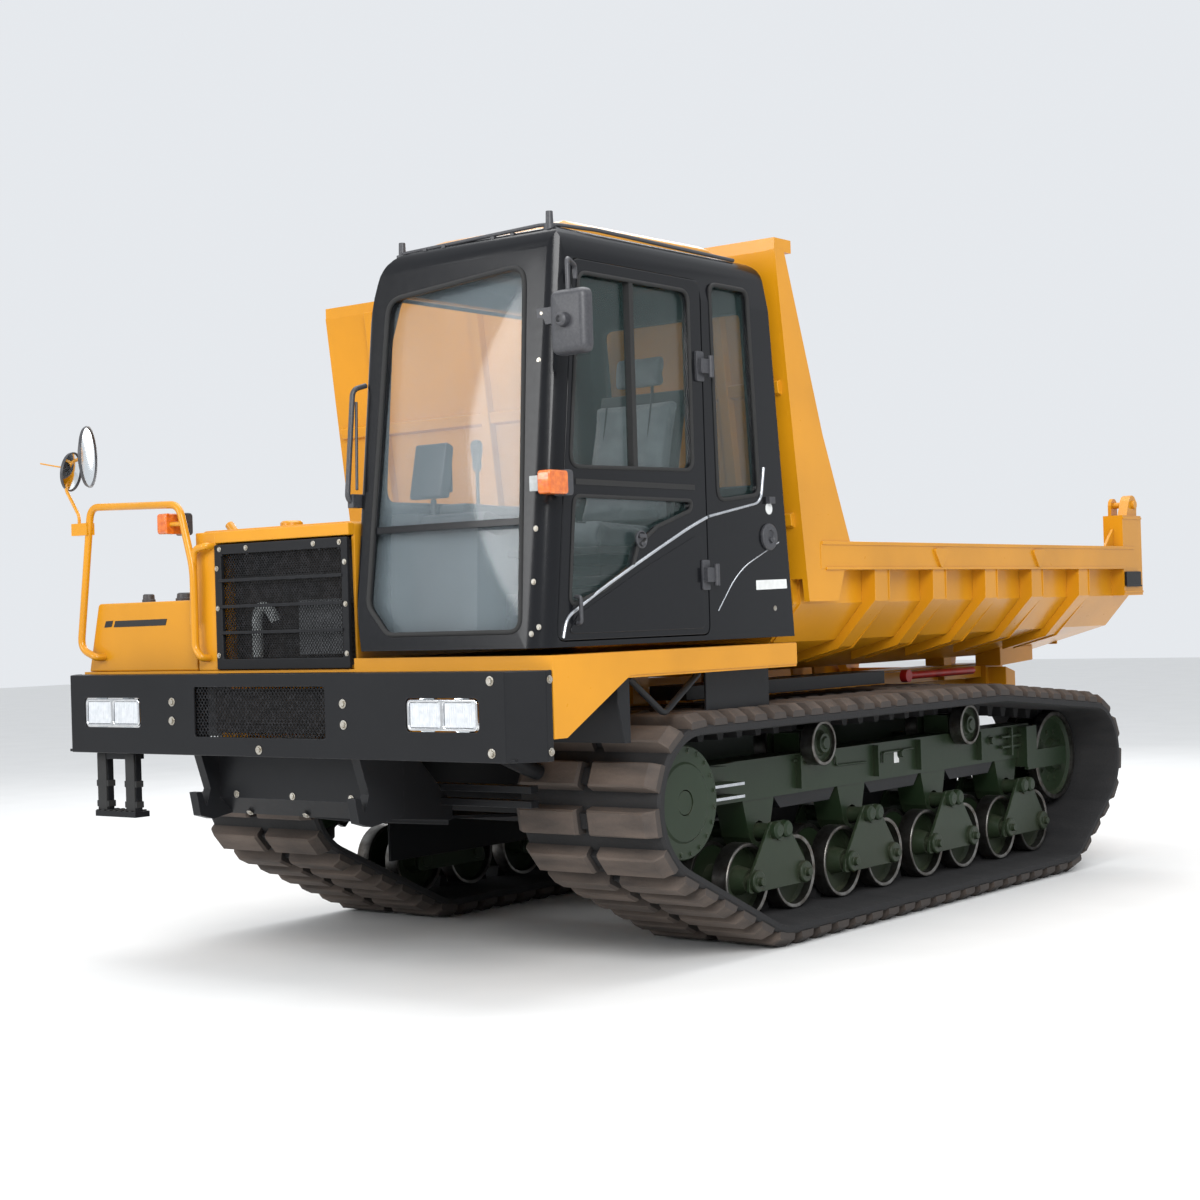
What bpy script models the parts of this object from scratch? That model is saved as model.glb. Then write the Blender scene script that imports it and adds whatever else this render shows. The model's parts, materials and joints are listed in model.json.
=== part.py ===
"""Rubber-tracked crawler carrier: cab on the left, engine beside it, tipping dump body behind.

Metres, +Z up, forward is -Y and the machine's left is +X. The origin is on the ground under the
middle of the machine. Lengths along the machine are stations, measured back from the bumper face.
"""

import math

import bmesh
import bpy
from mathutils import Matrix, Vector

# ---- driving dimensions -------------------------------------------------------------------------

GAP = 0.0006            # between pieces that touch
RUN = 0.002             # running clearance round a shaft

# overall
TRACK_OVERALL = 2.70    # outside of one belt to outside of the other
BODY_HALF = 1.379       # half width of the dump body and of the cab platform
MIRROR_REACH = 1.60     # how far each mirror stands out from the centre plane
TAIL = 5.551            # station of the dump body's rear end

# rubber tracks
TRACK_WIDTH = 0.73
BELT_SHEET = 0.050      # thickness without the lugs
BELT_LUG = 0.055        # height of a lug
LINK_PITCH = 0.150      # wanted pitch, rounded to a whole number of links
SPROCKET_AT = (1.152, 0.680)
SPROCKET_RADIUS = 0.264
IDLER_AT = (4.932, 0.605)
IDLER_RADIUS = 0.245
BELT_PLAY = 0.006       # belt to sprocket and idler
ROLLER_RADIUS = 0.168
ROLLER_PLAY = 0.002     # belt to road rollers
ROLLER_HALF_WIDTH = 0.138
ROLLER_SPREAD = 0.194   # bogie pivot to each of its two rollers
BOGIES = 4
BOGIE_FIRST = 1.976     # station of the first bogie pivot
BOGIE_STEP = 0.806
PIVOT_HEIGHT = 0.473
GUIDE_HALF = 0.055      # half width of the groove for the belt's guide lugs
AXLE_RADIUS = 0.025
PIVOT_RADIUS = 0.045
PLATE = 0.015           # bogie side plates
CARRIER_RADIUS = 0.105
CARRIER_STATIONS = (2.409, 3.839)
SIDE_BEAM = (0.62, 0.80)        # underside and top of a track frame's side beam
SIDE_BEAM_HALF = 0.085

# chassis
RAIL_SPAN = (0.40, 0.56)        # inner and outer face of a main rail, from the centre plane
RAIL_HEIGHT = (0.98, 1.12)
RAIL_FRONT = 0.25
DECK = (0.151, 1.840)           # first and last station of the deck behind the bumper
DECK_TOP = 1.280
PLATFORM_TOP = 1.323            # the cab's side of the deck stands higher
BUMPER_HEIGHT = (0.929, 1.270)
BUMPER_CORNER = 0.110
SHEET = 0.012

# engine side
HOOD_SIDES = (-0.585, 0.335)
HOOD_TOP = 1.870
HOOD_REAR = 1.600
GRILLE_DEPTH = 0.030
TANK_SIDES = (-1.330, -0.600)
TANK_TOP = 1.585
TANK_FRONT = 0.155
TANK_REAR = 0.800
LAMP_SIZE = (0.385, 0.140)
LAMP_HEIGHT = 1.106             # centre of a headlamp
LAMP_CENTRES = {"left": 0.952, "right": -0.987}

# cab
CAB_SIDES = (0.349, 1.361)
CAB_FLOOR = 1.351
CAB_FRONT = 0.120               # at floor height
CAB_REAR = 1.851
CAB_EAVES = 2.900
FRONT_RAKE = 0.1125             # station gained per metre of height
REAR_RAKE = -0.1000
ROOF_TOP = 3.000
CAB_WALL = 0.045
DOOR_REAR = 1.211
DOOR_HINGE_OUT = 0.030          # hinge line outboard of the cab side

# dump body
HINGE_AT = (5.100, 1.070)
BED_FRONT = 2.000               # front of the trough at the floor
BED_FLOOR = 1.170               # underside of the trough
BED_TOP = 1.764
BED_SHEET = 0.030
HEADBOARD_TOP = 3.035
HEADBOARD_LEAN = -0.130         # station gained per metre of height
TAIL_POST = 0.256
GATE_HINGE_HEIGHT = 2.010

# hoist, one telescopic cylinder under the middle of the bed
HOIST_FOOT = (2.60, 0.72)
HOIST_HEAD = (4.10, 1.045)
BARREL_RADIUS = 0.075
ROD_RADIUS = 0.045

HALF_LENGTH = TAIL / 2
TRACK_MIDDLE = (TRACK_OVERALL - TRACK_WIDTH) / 2
ROLLER_HEIGHT = BELT_LUG + BELT_SHEET + ROLLER_PLAY + ROLLER_RADIUS
SIDES = {"left": 1, "right": -1}

# ---- scene, materials and helpers ---------------------------------------------------------------

for leftover in list(bpy.data.objects):
    bpy.data.objects.remove(leftover, do_unlink=True)

parts = bpy.data.collections.new("crawler_carrier")
tools = bpy.data.collections.new("cutters")
for folder in (parts, tools):
    bpy.context.scene.collection.children.link(folder)


def paint(name, colour, metallic=0.0, roughness=0.5):
    """A plain Principled finish."""
    made = bpy.data.materials.new(name)
    made.use_nodes = True
    made.diffuse_color = (*colour, 1.0)
    shader = made.node_tree.nodes["Principled BSDF"]
    shader.inputs["Base Color"].default_value = (*colour, 1.0)
    shader.inputs["Metallic"].default_value = metallic
    shader.inputs["Roughness"].default_value = roughness
    return made


YELLOW = paint("yellow_paint", (0.75, 0.36, 0.02), roughness=0.35)
BLACK = paint("black_paint", (0.015, 0.016, 0.02), roughness=0.35)
OLIVE = paint("olive_paint", (0.02, 0.035, 0.02), roughness=0.5)
RUBBER = paint("track_rubber", (0.06, 0.05, 0.045), roughness=0.85)
STEEL = paint("bright_steel", (0.6, 0.6, 0.62), metallic=1.0, roughness=0.25)
GLASS = paint("tinted_glass", (0.25, 0.4, 0.42), roughness=0.05)
LENS = paint("lamp_lens", (0.8, 0.85, 0.9), roughness=0.1)
CLOTH = paint("seat_cloth", (0.12, 0.15, 0.17), roughness=0.9)
PLASTIC = paint("grey_plastic", (0.06, 0.065, 0.07), roughness=0.6)


def world(x, station, z):
    """Station coordinates to the model's frame."""
    return Vector((x, station - HALF_LENGTH, z))


def add(mesh, name="tool"):
    """A mesh as an object in the cutters' collection, until finish() makes it a part."""
    made = bpy.data.objects.new(name, mesh)
    tools.objects.link(made)
    made.display_type = "WIRE"
    made.hide_render = True
    return made


def from_bmesh(shape):
    mesh = bpy.data.meshes.new("shape")
    shape.to_mesh(mesh)
    shape.free()
    return add(mesh)


def box(x, station, z):
    """A block between two values on each axis."""
    low, high = world(x[0], station[0], z[0]), world(x[1], station[1], z[1])
    shape = bmesh.new()
    bmesh.ops.create_cube(
        shape, size=1.0,
        matrix=Matrix.Translation((low + high) / 2) @ Matrix.Diagonal((*(high - low), 1.0)),
    )
    return from_bmesh(shape)


def rod(start, end, radius, sides=12):
    """A round bar between two points given in station coordinates."""
    start, end = world(*start), world(*end)
    run = end - start
    turn = run.to_track_quat("Z", "Y").to_matrix().to_4x4()
    shape = bmesh.new()
    bmesh.ops.create_cone(
        shape, cap_ends=True, segments=sides, radius1=radius, radius2=radius, depth=run.length,
        matrix=Matrix.Translation((start + end) / 2) @ turn,
    )
    return from_bmesh(shape)


AXES = {
    "x": Matrix(((0, 0, 1), (1, 0, 0), (0, 1, 0))),
    "y": Matrix(((1, 0, 0), (0, 0, -1), (0, 1, 0))),
    "z": Matrix.Identity(3),
}


def mesh_of(drawn):
    """A curve's or a turned profile's closed mesh in world space; the drawn object is removed."""
    bpy.context.view_layer.update()
    seen = drawn.evaluated_get(bpy.context.evaluated_depsgraph_get())
    mesh = bpy.data.meshes.new_from_object(seen)
    mesh.transform(drawn.matrix_world)
    bpy.data.objects.remove(drawn, do_unlink=True)
    shape = bmesh.new()
    shape.from_mesh(mesh)
    bmesh.ops.remove_doubles(shape, verts=shape.verts, dist=1e-5)
    bmesh.ops.recalc_face_normals(shape, faces=shape.faces)
    shape.to_mesh(mesh)
    shape.free()
    return add(mesh)


def plate(outlines, low, high, axis="x"):
    """Flat outlines, given as (station, z), (x, z) or (x, station), thickened along an axis."""
    curve = bpy.data.curves.new("outline", "CURVE")
    curve.dimensions = "2D"
    curve.fill_mode = "BOTH"
    curve.extrude = (high - low) / 2
    for outline in outlines:
        spline = curve.splines.new("POLY")
        spline.points.add(len(outline) - 1)
        for point, (u, v) in zip(spline.points, outline):
            point.co = (u, v, 0, 1)
        spline.use_cyclic_u = True
    drawn = bpy.data.objects.new("outline", curve)
    tools.objects.link(drawn)
    middle = (low + high) / 2
    centre = {"x": (middle, 0, 0), "y": (0, middle, 0), "z": (0, 0, middle)}[axis]
    drawn.matrix_world = Matrix.Translation(world(*centre)) @ AXES[axis].to_4x4()
    return mesh_of(drawn)


def turned(profile, centre, steps, toward=(1, 0, 0)):
    """A profile of (along, radius) points turned about an axis."""
    mesh = bpy.data.meshes.new("profile")
    points = [(radius, 0, along) for along, radius in profile]
    closed = min(radius for _, radius in profile) > 0
    edges = [(n, n + 1) for n in range(len(points) - 1)]
    if closed:
        edges.append((len(points) - 1, 0))
    mesh.from_pydata(points, edges, [])
    made = add(mesh)
    screw = made.modifiers.new("turn", "SCREW")
    screw.steps = screw.render_steps = steps
    screw.use_merge_vertices = True
    screw.merge_threshold = 0.0001
    screw.use_smooth_shade = False
    made.matrix_world = (
        Matrix.Translation(world(*centre)) @ Vector(toward).to_track_quat("Z", "Y").to_matrix().to_4x4()
    )
    return mesh_of(made)


def bent_tube(points, radius, corner=0.05, cyclic=False):
    """A round tube through points, its corners rounded by short arcs."""
    places = [world(*point) for point in points]
    smooth = [places[0]]
    for before, here, after in zip(places, places[1:], places[2:]):
        cut = min(corner, (here - before).length / 2.1, (after - here).length / 2.1)
        first = here + (before - here).normalized() * cut
        last = here + (after - here).normalized() * cut
        for share in (0, 1 / 3, 2 / 3, 1):
            smooth.append(first.lerp(here, share).lerp(here.lerp(last, share), share))
    smooth.append(places[-1])
    curve = bpy.data.curves.new("tube", "CURVE")
    curve.dimensions = "3D"
    curve.bevel_depth = radius
    curve.bevel_resolution = 2
    curve.use_fill_caps = True
    spline = curve.splines.new("POLY")
    spline.points.add(len(smooth) - 1)
    for point, place in zip(spline.points, smooth):
        point.co = (*place, 1)
    drawn = bpy.data.objects.new("tube", curve)
    tools.objects.link(drawn)
    return mesh_of(drawn)


def blend(base, others, operation="UNION"):
    """Joins pieces to base, or takes them away from it."""
    for other in others:
        step = base.modifiers.new(operation.lower(), "BOOLEAN")
        step.operation = operation
        step.object = other
        step.solver = "EXACT"
    return base


def cut(base, *others):
    return blend(base, others, "DIFFERENCE")


def finish(shape, name, material, pivot=None):
    """Makes a shape the named part, with its origin on its pivot."""
    tools.objects.unlink(shape)
    parts.objects.link(shape)
    shape.name = name
    shape.display_type = "TEXTURED"
    shape.hide_render = False
    shape.data.materials.append(material)
    if pivot is not None:
        place = world(*pivot)
        bpy.context.view_layer.update()
        shape.data.transform(Matrix.Translation(-place) @ shape.matrix_world)
        shape.matrix_world = Matrix.Translation(place)
    return shape


def round_outline(circles, sides=6):
    """The outline round a row of circles, given counter-clockwise as (u, v, radius)."""
    points = []
    count = len(circles)
    normals = []
    for n, (u, v, radius) in enumerate(circles):
        u2, v2, radius2 = circles[(n + 1) % count]
        heading = math.atan2(v2 - v, u2 - u)
        normals.append(heading - math.acos((radius - radius2) / math.hypot(u2 - u, v2 - v)))
    for n, (u, v, radius) in enumerate(circles):
        start = normals[n - 1]
        sweep = (normals[n] - start) % (2 * math.pi)
        for step in range(sides + 1):
            angle = start + sweep * step / sides
            points.append((u + radius * math.cos(angle), v + radius * math.sin(angle)))
    return points


# ---- rubber belts -------------------------------------------------------------------------------

BOGIE_STATIONS = [BOGIE_FIRST + BOGIE_STEP * n for n in range(BOGIES)]
CARRIER_HEIGHT = SPROCKET_AT[1] + SPROCKET_RADIUS + BELT_PLAY - CARRIER_RADIUS - ROLLER_PLAY
BELT_CIRCLES = [
    (BOGIE_STATIONS[0] - ROLLER_SPREAD, ROLLER_HEIGHT, ROLLER_RADIUS + ROLLER_PLAY),
    (BOGIE_STATIONS[-1] + ROLLER_SPREAD, ROLLER_HEIGHT, ROLLER_RADIUS + ROLLER_PLAY),
    (*IDLER_AT, IDLER_RADIUS + BELT_PLAY),
    (CARRIER_STATIONS[-1], CARRIER_HEIGHT, CARRIER_RADIUS + ROLLER_PLAY),
    (*SPROCKET_AT, SPROCKET_RADIUS + BELT_PLAY),
]


def belt_stretches():
    """The inner face as arcs and straights: (kind, length, start, direction or radius, angle)."""
    count = len(BELT_CIRCLES)
    normals = []
    for n, (u, v, radius) in enumerate(BELT_CIRCLES):
        u2, v2, radius2 = BELT_CIRCLES[(n + 1) % count]
        heading = math.atan2(v2 - v, u2 - u)
        normals.append(heading - math.acos((radius - radius2) / math.hypot(u2 - u, v2 - v)))
    stretches = []
    for n, (u, v, radius) in enumerate(BELT_CIRCLES):
        sweep = (normals[n] - normals[n - 1]) % (2 * math.pi)
        stretches.append(("arc", sweep * radius, (u, v), radius, normals[n - 1]))
        u2, v2, radius2 = BELT_CIRCLES[(n + 1) % count]
        length = math.sqrt(math.hypot(u2 - u, v2 - v) ** 2 - (radius - radius2) ** 2)
        stretches.append(("straight", length, (u, v), radius, normals[n]))
    return stretches


STRETCHES = belt_stretches()
BELT_LENGTH = sum(stretch[1] for stretch in STRETCHES)
LINKS = round(BELT_LENGTH / LINK_PITCH)


def on_belt(distance, height):
    """The point this far round the belt and this high above its inner face."""
    distance %= BELT_LENGTH
    for kind, length, (u, v), radius, angle in STRETCHES:
        if distance <= length:
            break
        distance -= length
    along = 0.0
    if kind == "arc":
        angle += distance / radius
    else:
        along = distance
    reach = radius + height
    return (
        u + reach * math.cos(angle) - along * math.sin(angle),
        v + reach * math.sin(angle) + along * math.cos(angle),
    )


def belt(name, side):
    pitch = BELT_LENGTH / LINKS
    lug, flank = pitch * 0.62, pitch * 0.08
    tread = []
    for link in range(LINKS):
        start = link * pitch
        tread.append(on_belt(start, BELT_SHEET))
        tread.append(on_belt(start + flank, BELT_SHEET + BELT_LUG))
        tread.append(on_belt(start + lug - flank, BELT_SHEET + BELT_LUG))
        tread.append(on_belt(start + lug, BELT_SHEET))
    inner = []
    start = 0.0
    for kind, length, _, radius, _ in STRETCHES:
        steps = max(2, math.ceil(length / radius / math.radians(12))) if kind == "arc" else 1
        inner += [on_belt(start + length * step / steps, 0.0) for step in range(steps)]
        start += length
    middle = side * TRACK_MIDDLE
    loop = plate([tread, inner], middle - TRACK_WIDTH / 2, middle + TRACK_WIDTH / 2)
    finish(loop, name, RUBBER)


# ---- wheels of the undercarriage ----------------------------------------------------------------

SPROCKET_TEETH = 13
HUB_OUT = TRACK_OVERALL / 2 - 0.100     # outer face of the sprocket's cover
STUB_RADIUS = 0.050


def sprocket(name, side):
    hub, cover = SPROCKET_RADIUS - 0.066, SPROCKET_RADIUS - 0.024
    bore = STUB_RADIUS + RUN
    inside, outside = TRACK_MIDDLE - 0.105, HUB_OUT
    profile = [
        (outside, bore), (outside, cover), (outside - 0.030, cover), (outside - 0.030, hub),
        (inside, hub), (inside, bore),
    ]
    wheel = turned(profile, (0, *SPROCKET_AT), 20, (side, 0, 0))
    root, tip = SPROCKET_RADIUS - 0.045, SPROCKET_RADIUS
    teeth = []
    for tooth in range(SPROCKET_TEETH):
        for part, radius in ((0.0, root), (0.22, tip), (0.50, tip), (0.72, root)):
            angle = 2 * math.pi * (tooth + part) / SPROCKET_TEETH
            teeth.append((
                SPROCKET_AT[0] + radius * math.cos(angle), SPROCKET_AT[1] + radius * math.sin(angle)
            ))
    for inner in (TRACK_MIDDLE - GUIDE_HALF - 0.030, TRACK_MIDDLE + GUIDE_HALF):
        low, high = sorted((side * inner, side * (inner + 0.030)))
        ring = plate([teeth], low, high)
        cut(ring, rod((low - 0.1, *SPROCKET_AT), (high + 0.1, *SPROCKET_AT), hub - 0.02, 16))
        blend(wheel, [ring])
    finish(wheel, name, OLIVE, (side * TRACK_MIDDLE, *SPROCKET_AT))


def idler(name, side):
    half, bore = 0.110, 0.040 + RUN
    rim = IDLER_RADIUS - 0.040
    profile = [
        (half, bore), (half, 0.080), (half - 0.020, 0.095), (half - 0.020, rim), (half, rim + 0.010),
        (half, IDLER_RADIUS), (GUIDE_HALF, IDLER_RADIUS), (GUIDE_HALF, IDLER_RADIUS - 0.060),
    ]
    profile += [(-along, radius) for along, radius in reversed(profile)]
    wheel = turned(profile, (side * TRACK_MIDDLE, *IDLER_AT), 20, (side, 0, 0))
    finish(wheel, name, OLIVE, (side * TRACK_MIDDLE, *IDLER_AT))


def carrier_roller(name, side, station):
    half, shaft, tread = 0.165, 0.030, 0.068
    profile = [(half, 0.0), (half, CARRIER_RADIUS), (half - tread, CARRIER_RADIUS)]
    profile += [(half - tread, shaft), (-half + tread, shaft)]
    profile += [(-half + tread, CARRIER_RADIUS), (-half, CARRIER_RADIUS), (-half, 0.0)]
    centre = (side * TRACK_MIDDLE, station, CARRIER_HEIGHT)
    finish(turned(profile, centre, 16, (side, 0, 0)), name, OLIVE, centre)


def road_roller(name, side, station):
    half, bore = ROLLER_HALF_WIDTH, AXLE_RADIUS + RUN
    profile = [(half, bore), (half, ROLLER_RADIUS), (GUIDE_HALF, ROLLER_RADIUS), (GUIDE_HALF, 0.065)]
    profile += [(-along, radius) for along, radius in reversed(profile)]
    centre = (side * TRACK_MIDDLE, station, ROLLER_HEIGHT)
    finish(turned(profile, centre, 14, (side, 0, 0)), name, OLIVE, centre)


BOGIE_HALF = ROLLER_HALF_WIDTH + 0.027      # middle plane to the inside of a side plate


def bogie(name, side, station):
    """Two triangular side plates held apart by the pivot tube and the two roller axles."""
    outline = round_outline([
        (station - ROLLER_SPREAD, ROLLER_HEIGHT, 0.052), (station + ROLLER_SPREAD, ROLLER_HEIGHT, 0.052),
        (station, PIVOT_HEIGHT, 0.062),
    ], 3)
    middle = side * TRACK_MIDDLE
    outer = plate([outline], middle + BOGIE_HALF, middle + BOGIE_HALF + PLATE)
    inner = plate([outline], middle - BOGIE_HALF - PLATE, middle - BOGIE_HALF)
    reach = BOGIE_HALF + PLATE * 2
    bars = [
        rod((middle - reach, at, height), (middle + reach, at, height), radius, sides)
        for at, height, radius, sides in (
            (station, PIVOT_HEIGHT, PIVOT_RADIUS, 12),
            (station - ROLLER_SPREAD, ROLLER_HEIGHT, AXLE_RADIUS, 8),
            (station + ROLLER_SPREAD, ROLLER_HEIGHT, AXLE_RADIUS, 8),
        )
    ]
    finish(blend(outer, [*bars, inner]), name, OLIVE, (middle, station, PIVOT_HEIGHT))


# ---- undercarriage frame ------------------------------------------------------------------------

CROSS_TUBES = (1.75, 4.18)      # stations of the tubes that join the side frames


def undercarriage_frame():
    """Side beams with bogie lugs, drive and idler supports, joined by tubes under two keel bars."""
    low, high = SIDE_BEAM
    beam_front = SPROCKET_AT[0] + SPROCKET_RADIUS + 0.030
    beam_rear = IDLER_AT[0] - IDLER_RADIUS - 0.030
    pieces = []
    for side in SIDES.values():
        middle = side * TRACK_MIDDLE

        def span(near, far, flip=side, centre=TRACK_MIDDLE):
            return sorted((flip * (centre + near), flip * (centre + far)))

        beam = box(span(-SIDE_BEAM_HALF, SIDE_BEAM_HALF), (beam_front, beam_rear), (low, high))
        for station in BOGIE_STATIONS:
            lug = plate([round_outline([
                (station, PIVOT_HEIGHT, 0.082), (station + 0.11, low + 0.05, 0.03),
                (station - 0.11, low + 0.05, 0.03),
            ], 4)], *span(-0.075, 0.075))
            cut(lug, rod(
                (middle - 0.2, station, PIVOT_HEIGHT), (middle + 0.2, station, PIVOT_HEIGHT),
                PIVOT_RADIUS + RUN * 2, 12,
            ))
            blend(beam, [lug])
        for station in CARRIER_STATIONS:
            saddle = box(
                span(-0.07, 0.07), (station - 0.07, station + 0.07), (high - 0.05, CARRIER_HEIGHT + 0.05)
            )
            blend(beam, [saddle])
            cut(beam, rod(
                (middle - 0.2, station, CARRIER_HEIGHT), (middle + 0.2, station, CARRIER_HEIGHT),
                0.030 + RUN, 16,
            ))
        # idler yoke
        yoke = 0.110 + 0.008
        ends = [box(
            span(-yoke - 0.022, yoke + 0.022), (beam_rear - 0.13, beam_rear - 0.01), (low - 0.05, high - 0.01)
        )]
        for near in (-yoke - 0.022, yoke):
            ends.append(box(
                span(near, near + 0.022), (beam_rear - 0.12, IDLER_AT[0] + 0.07),
                (IDLER_AT[1] - 0.05, IDLER_AT[1] + 0.05),
            ))
        reach = yoke + 0.010
        ends.append(rod((middle - reach, *IDLER_AT), (middle + reach, *IDLER_AT), 0.040, 16))
        # drive support on the inner side of the sprocket
        ends.append(box(
            span(-0.265, 0.07), (beam_front + 0.02, beam_front + 0.16), (low + 0.01, high - 0.012)
        ))
        arm = plate([round_outline([
            (*SPROCKET_AT, 0.140), (beam_front + 0.10, low + 0.08, 0.05),
            (beam_front + 0.10, high - 0.06, 0.05),
        ], 4)], *span(-0.255, -0.135))
        stub = rod(
            (side * (TRACK_MIDDLE - 0.20), *SPROCKET_AT), (side * (HUB_OUT - 0.004), *SPROCKET_AT),
            STUB_RADIUS, 20,
        )
        pieces.append(blend(beam, [*ends, arm, stub]))
    for station in CROSS_TUBES:
        inner = TRACK_MIDDLE - 0.03
        pieces.append(box((-inner, inner), (station - 0.09, station + 0.09), (low + 0.015, high - 0.02)))
    for side in SIDES.values():
        x = sorted((side * (RAIL_SPAN[0] - 0.01), side * (RAIL_SPAN[1] - 0.02)))
        rear = HINGE_AT[0] - 0.08
        pieces.append(box(x, (CROSS_TUBES[0] - 0.55, rear), (high - 0.12, RAIL_HEIGHT[0] - GAP)))
    finish(blend(pieces[0], pieces[1:]), "undercarriage_frame", OLIVE)


# ---- main frame, bumper and guard ---------------------------------------------------------------

def main_frame():
    """Two rails, the deck over the tracks, the raised cab platform and the body hinge shaft."""
    deck_low = DECK_TOP - 0.05
    rail_rear = HINGE_AT[0] + 0.068
    rails = [
        box(sorted((side * RAIL_SPAN[0], side * RAIL_SPAN[1])), (RAIL_FRONT, rail_rear), RAIL_HEIGHT)
        for side in SIDES.values()
    ]
    pieces = [rails[1]]
    for station in (DECK[0] + 0.20, DECK[1] - 0.18):
        pieces.append(box(
            (-RAIL_SPAN[1] - 0.05, RAIL_SPAN[1] + 0.05), (station, station + 0.12),
            (RAIL_HEIGHT[1] - 0.06, deck_low + 0.02),
        ))
    pieces.append(box((-BODY_HALF + 0.02, 0.60), DECK, (deck_low, DECK_TOP - GAP)))
    pieces.append(box((CAB_SIDES[0], BODY_HALF - 0.006), DECK, (deck_low - 0.01, PLATFORM_TOP)))
    slope = 0.22
    side_plate = [
        (DECK[0], 1.011), (DECK[0] + 0.076, 1.011), (DECK[0] + 0.482, 1.011 + slope),
        (DECK[1] - 0.004, 1.011 + slope), (DECK[1] - 0.004, PLATFORM_TOP - 0.003),
        (DECK[0], PLATFORM_TOP - 0.003),
    ]
    pieces.append(plate([side_plate], BODY_HALF - SHEET, BODY_HALF))
    pieces.append(rod((-RAIL_SPAN[1] - 0.02, *HINGE_AT), (RAIL_SPAN[1] + 0.02, *HINGE_AT), 0.030, 16))
    foot = HOIST_FOOT
    for side in SIDES.values():
        cheek = plate(
            [round_outline([(*foot, 0.06), (foot[0] + 0.03, RAIL_HEIGHT[0] - 0.02, 0.05),
                            (foot[0] - 0.03, RAIL_HEIGHT[0] - 0.02, 0.05)], 4)],
            *sorted((side * 0.085, side * 0.105)),
        )
        pieces.append(cheek)
    beam = box(
        (-RAIL_SPAN[0] - 0.05, RAIL_SPAN[0] + 0.05), (foot[0] - 0.07, foot[0] + 0.07),
        (RAIL_HEIGHT[0], RAIL_HEIGHT[1] - 0.03),
    )
    pieces.append(beam)
    pieces.append(rod((-0.10, *foot), (0.10, *foot), 0.022, 12))
    for side in SIDES.values():
        x = sorted((side * (RAIL_SPAN[1] - 0.01), side * (RAIL_SPAN[1] + 0.13)))
        pieces.append(box(
            x, (HINGE_AT[0] - 0.19, HINGE_AT[0] + 0.02), (RAIL_HEIGHT[0] + 0.01, RAIL_HEIGHT[1] - 0.01)
        ))
    finish(blend(rails[0], pieces), "main_frame", YELLOW)


def front_bumper():
    corner = BODY_HALF - BUMPER_CORNER
    depth = DECK[0] - 0.004
    outer = [
        (-BODY_HALF, depth), (-BODY_HALF, BUMPER_CORNER), (-corner, 0.0), (corner, 0.0),
        (BODY_HALF, BUMPER_CORNER), (BODY_HALF, depth),
    ]
    side = BODY_HALF - SHEET
    knee = SHEET * 0.414
    inner = [
        (side, depth), (side, BUMPER_CORNER + knee), (corner - knee, SHEET), (-corner + knee, SHEET),
        (-side, BUMPER_CORNER + knee), (-side, depth),
    ]
    skin = plate([outer + inner], *BUMPER_HEIGHT, axis="z")
    flange = [
        (corner, 0.004), (side - 0.01, BUMPER_CORNER), (side - 0.01, depth - 0.01),
        (-side + 0.01, depth - 0.01), (-side + 0.01, BUMPER_CORNER), (-corner, 0.004),
    ]
    blend(skin, [plate([flange], BUMPER_HEIGHT[1] - SHEET, BUMPER_HEIGHT[1] - 0.001, axis="z")])
    half_wide, half_tall = LAMP_SIZE[0] / 2 + GAP, LAMP_SIZE[1] / 2 + GAP
    for centre in LAMP_CENTRES.values():
        cut(skin, box(
            (centre - half_wide, centre + half_wide), (-0.05, 0.05),
            (LAMP_HEIGHT - half_tall, LAMP_HEIGHT + half_tall),
        ))
    finish(skin, "front_bumper", BLACK)


def headlamp(name, centre):
    body = box(
        (centre - LAMP_SIZE[0] / 2, centre + LAMP_SIZE[0] / 2), (0.001, 0.070),
        (LAMP_HEIGHT - LAMP_SIZE[1] / 2, LAMP_HEIGHT + LAMP_SIZE[1] / 2),
    )
    finish(body, name, LENS)


def belly_guard():
    """Bent sheet under the engine with a tow hook on each side."""
    top = BUMPER_HEIGHT[0] - GAP
    front = DECK[0] + 0.01
    upper = [(front, top), (front, 0.740), (front + 0.07, 0.665), (1.10, 0.600)]
    lower = [
        (1.10, 0.600 + SHEET), (front + 0.075, 0.665 + SHEET), (front + SHEET, 0.744), (front + SHEET, top),
    ]
    guard = plate([upper + lower], -0.500, 0.420)
    for near in (-0.530, 0.405):
        hook = [(0.060, top), (front + 0.15, top), (front + 0.15, 0.68), (0.120, 0.650), (0.050, 0.670),
                (0.030, 0.770), (0.060, 0.770), (0.085, 0.710), (0.110, 0.780)]
        blend(guard, [plate([hook], near, near + 0.045)])
    finish(guard, "belly_guard", BLACK)


def boarding_step():
    """Two straps and a tread hanging under the right end of the bumper."""
    top = BUMPER_HEIGHT[0] - GAP
    tread = box((-1.175, -0.905), (0.045, 0.125), (0.645, 0.670))
    straps = [box((x, x + 0.070), (0.060, 0.090), (0.655, top)) for x in (-1.170, -0.980)]
    head = box((-1.165, -0.915), (0.055, 0.110), (top - 0.030, top))
    finish(blend(tread, [*straps, head]), "boarding_step", BLACK)


# ---- engine side --------------------------------------------------------------------------------

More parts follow.
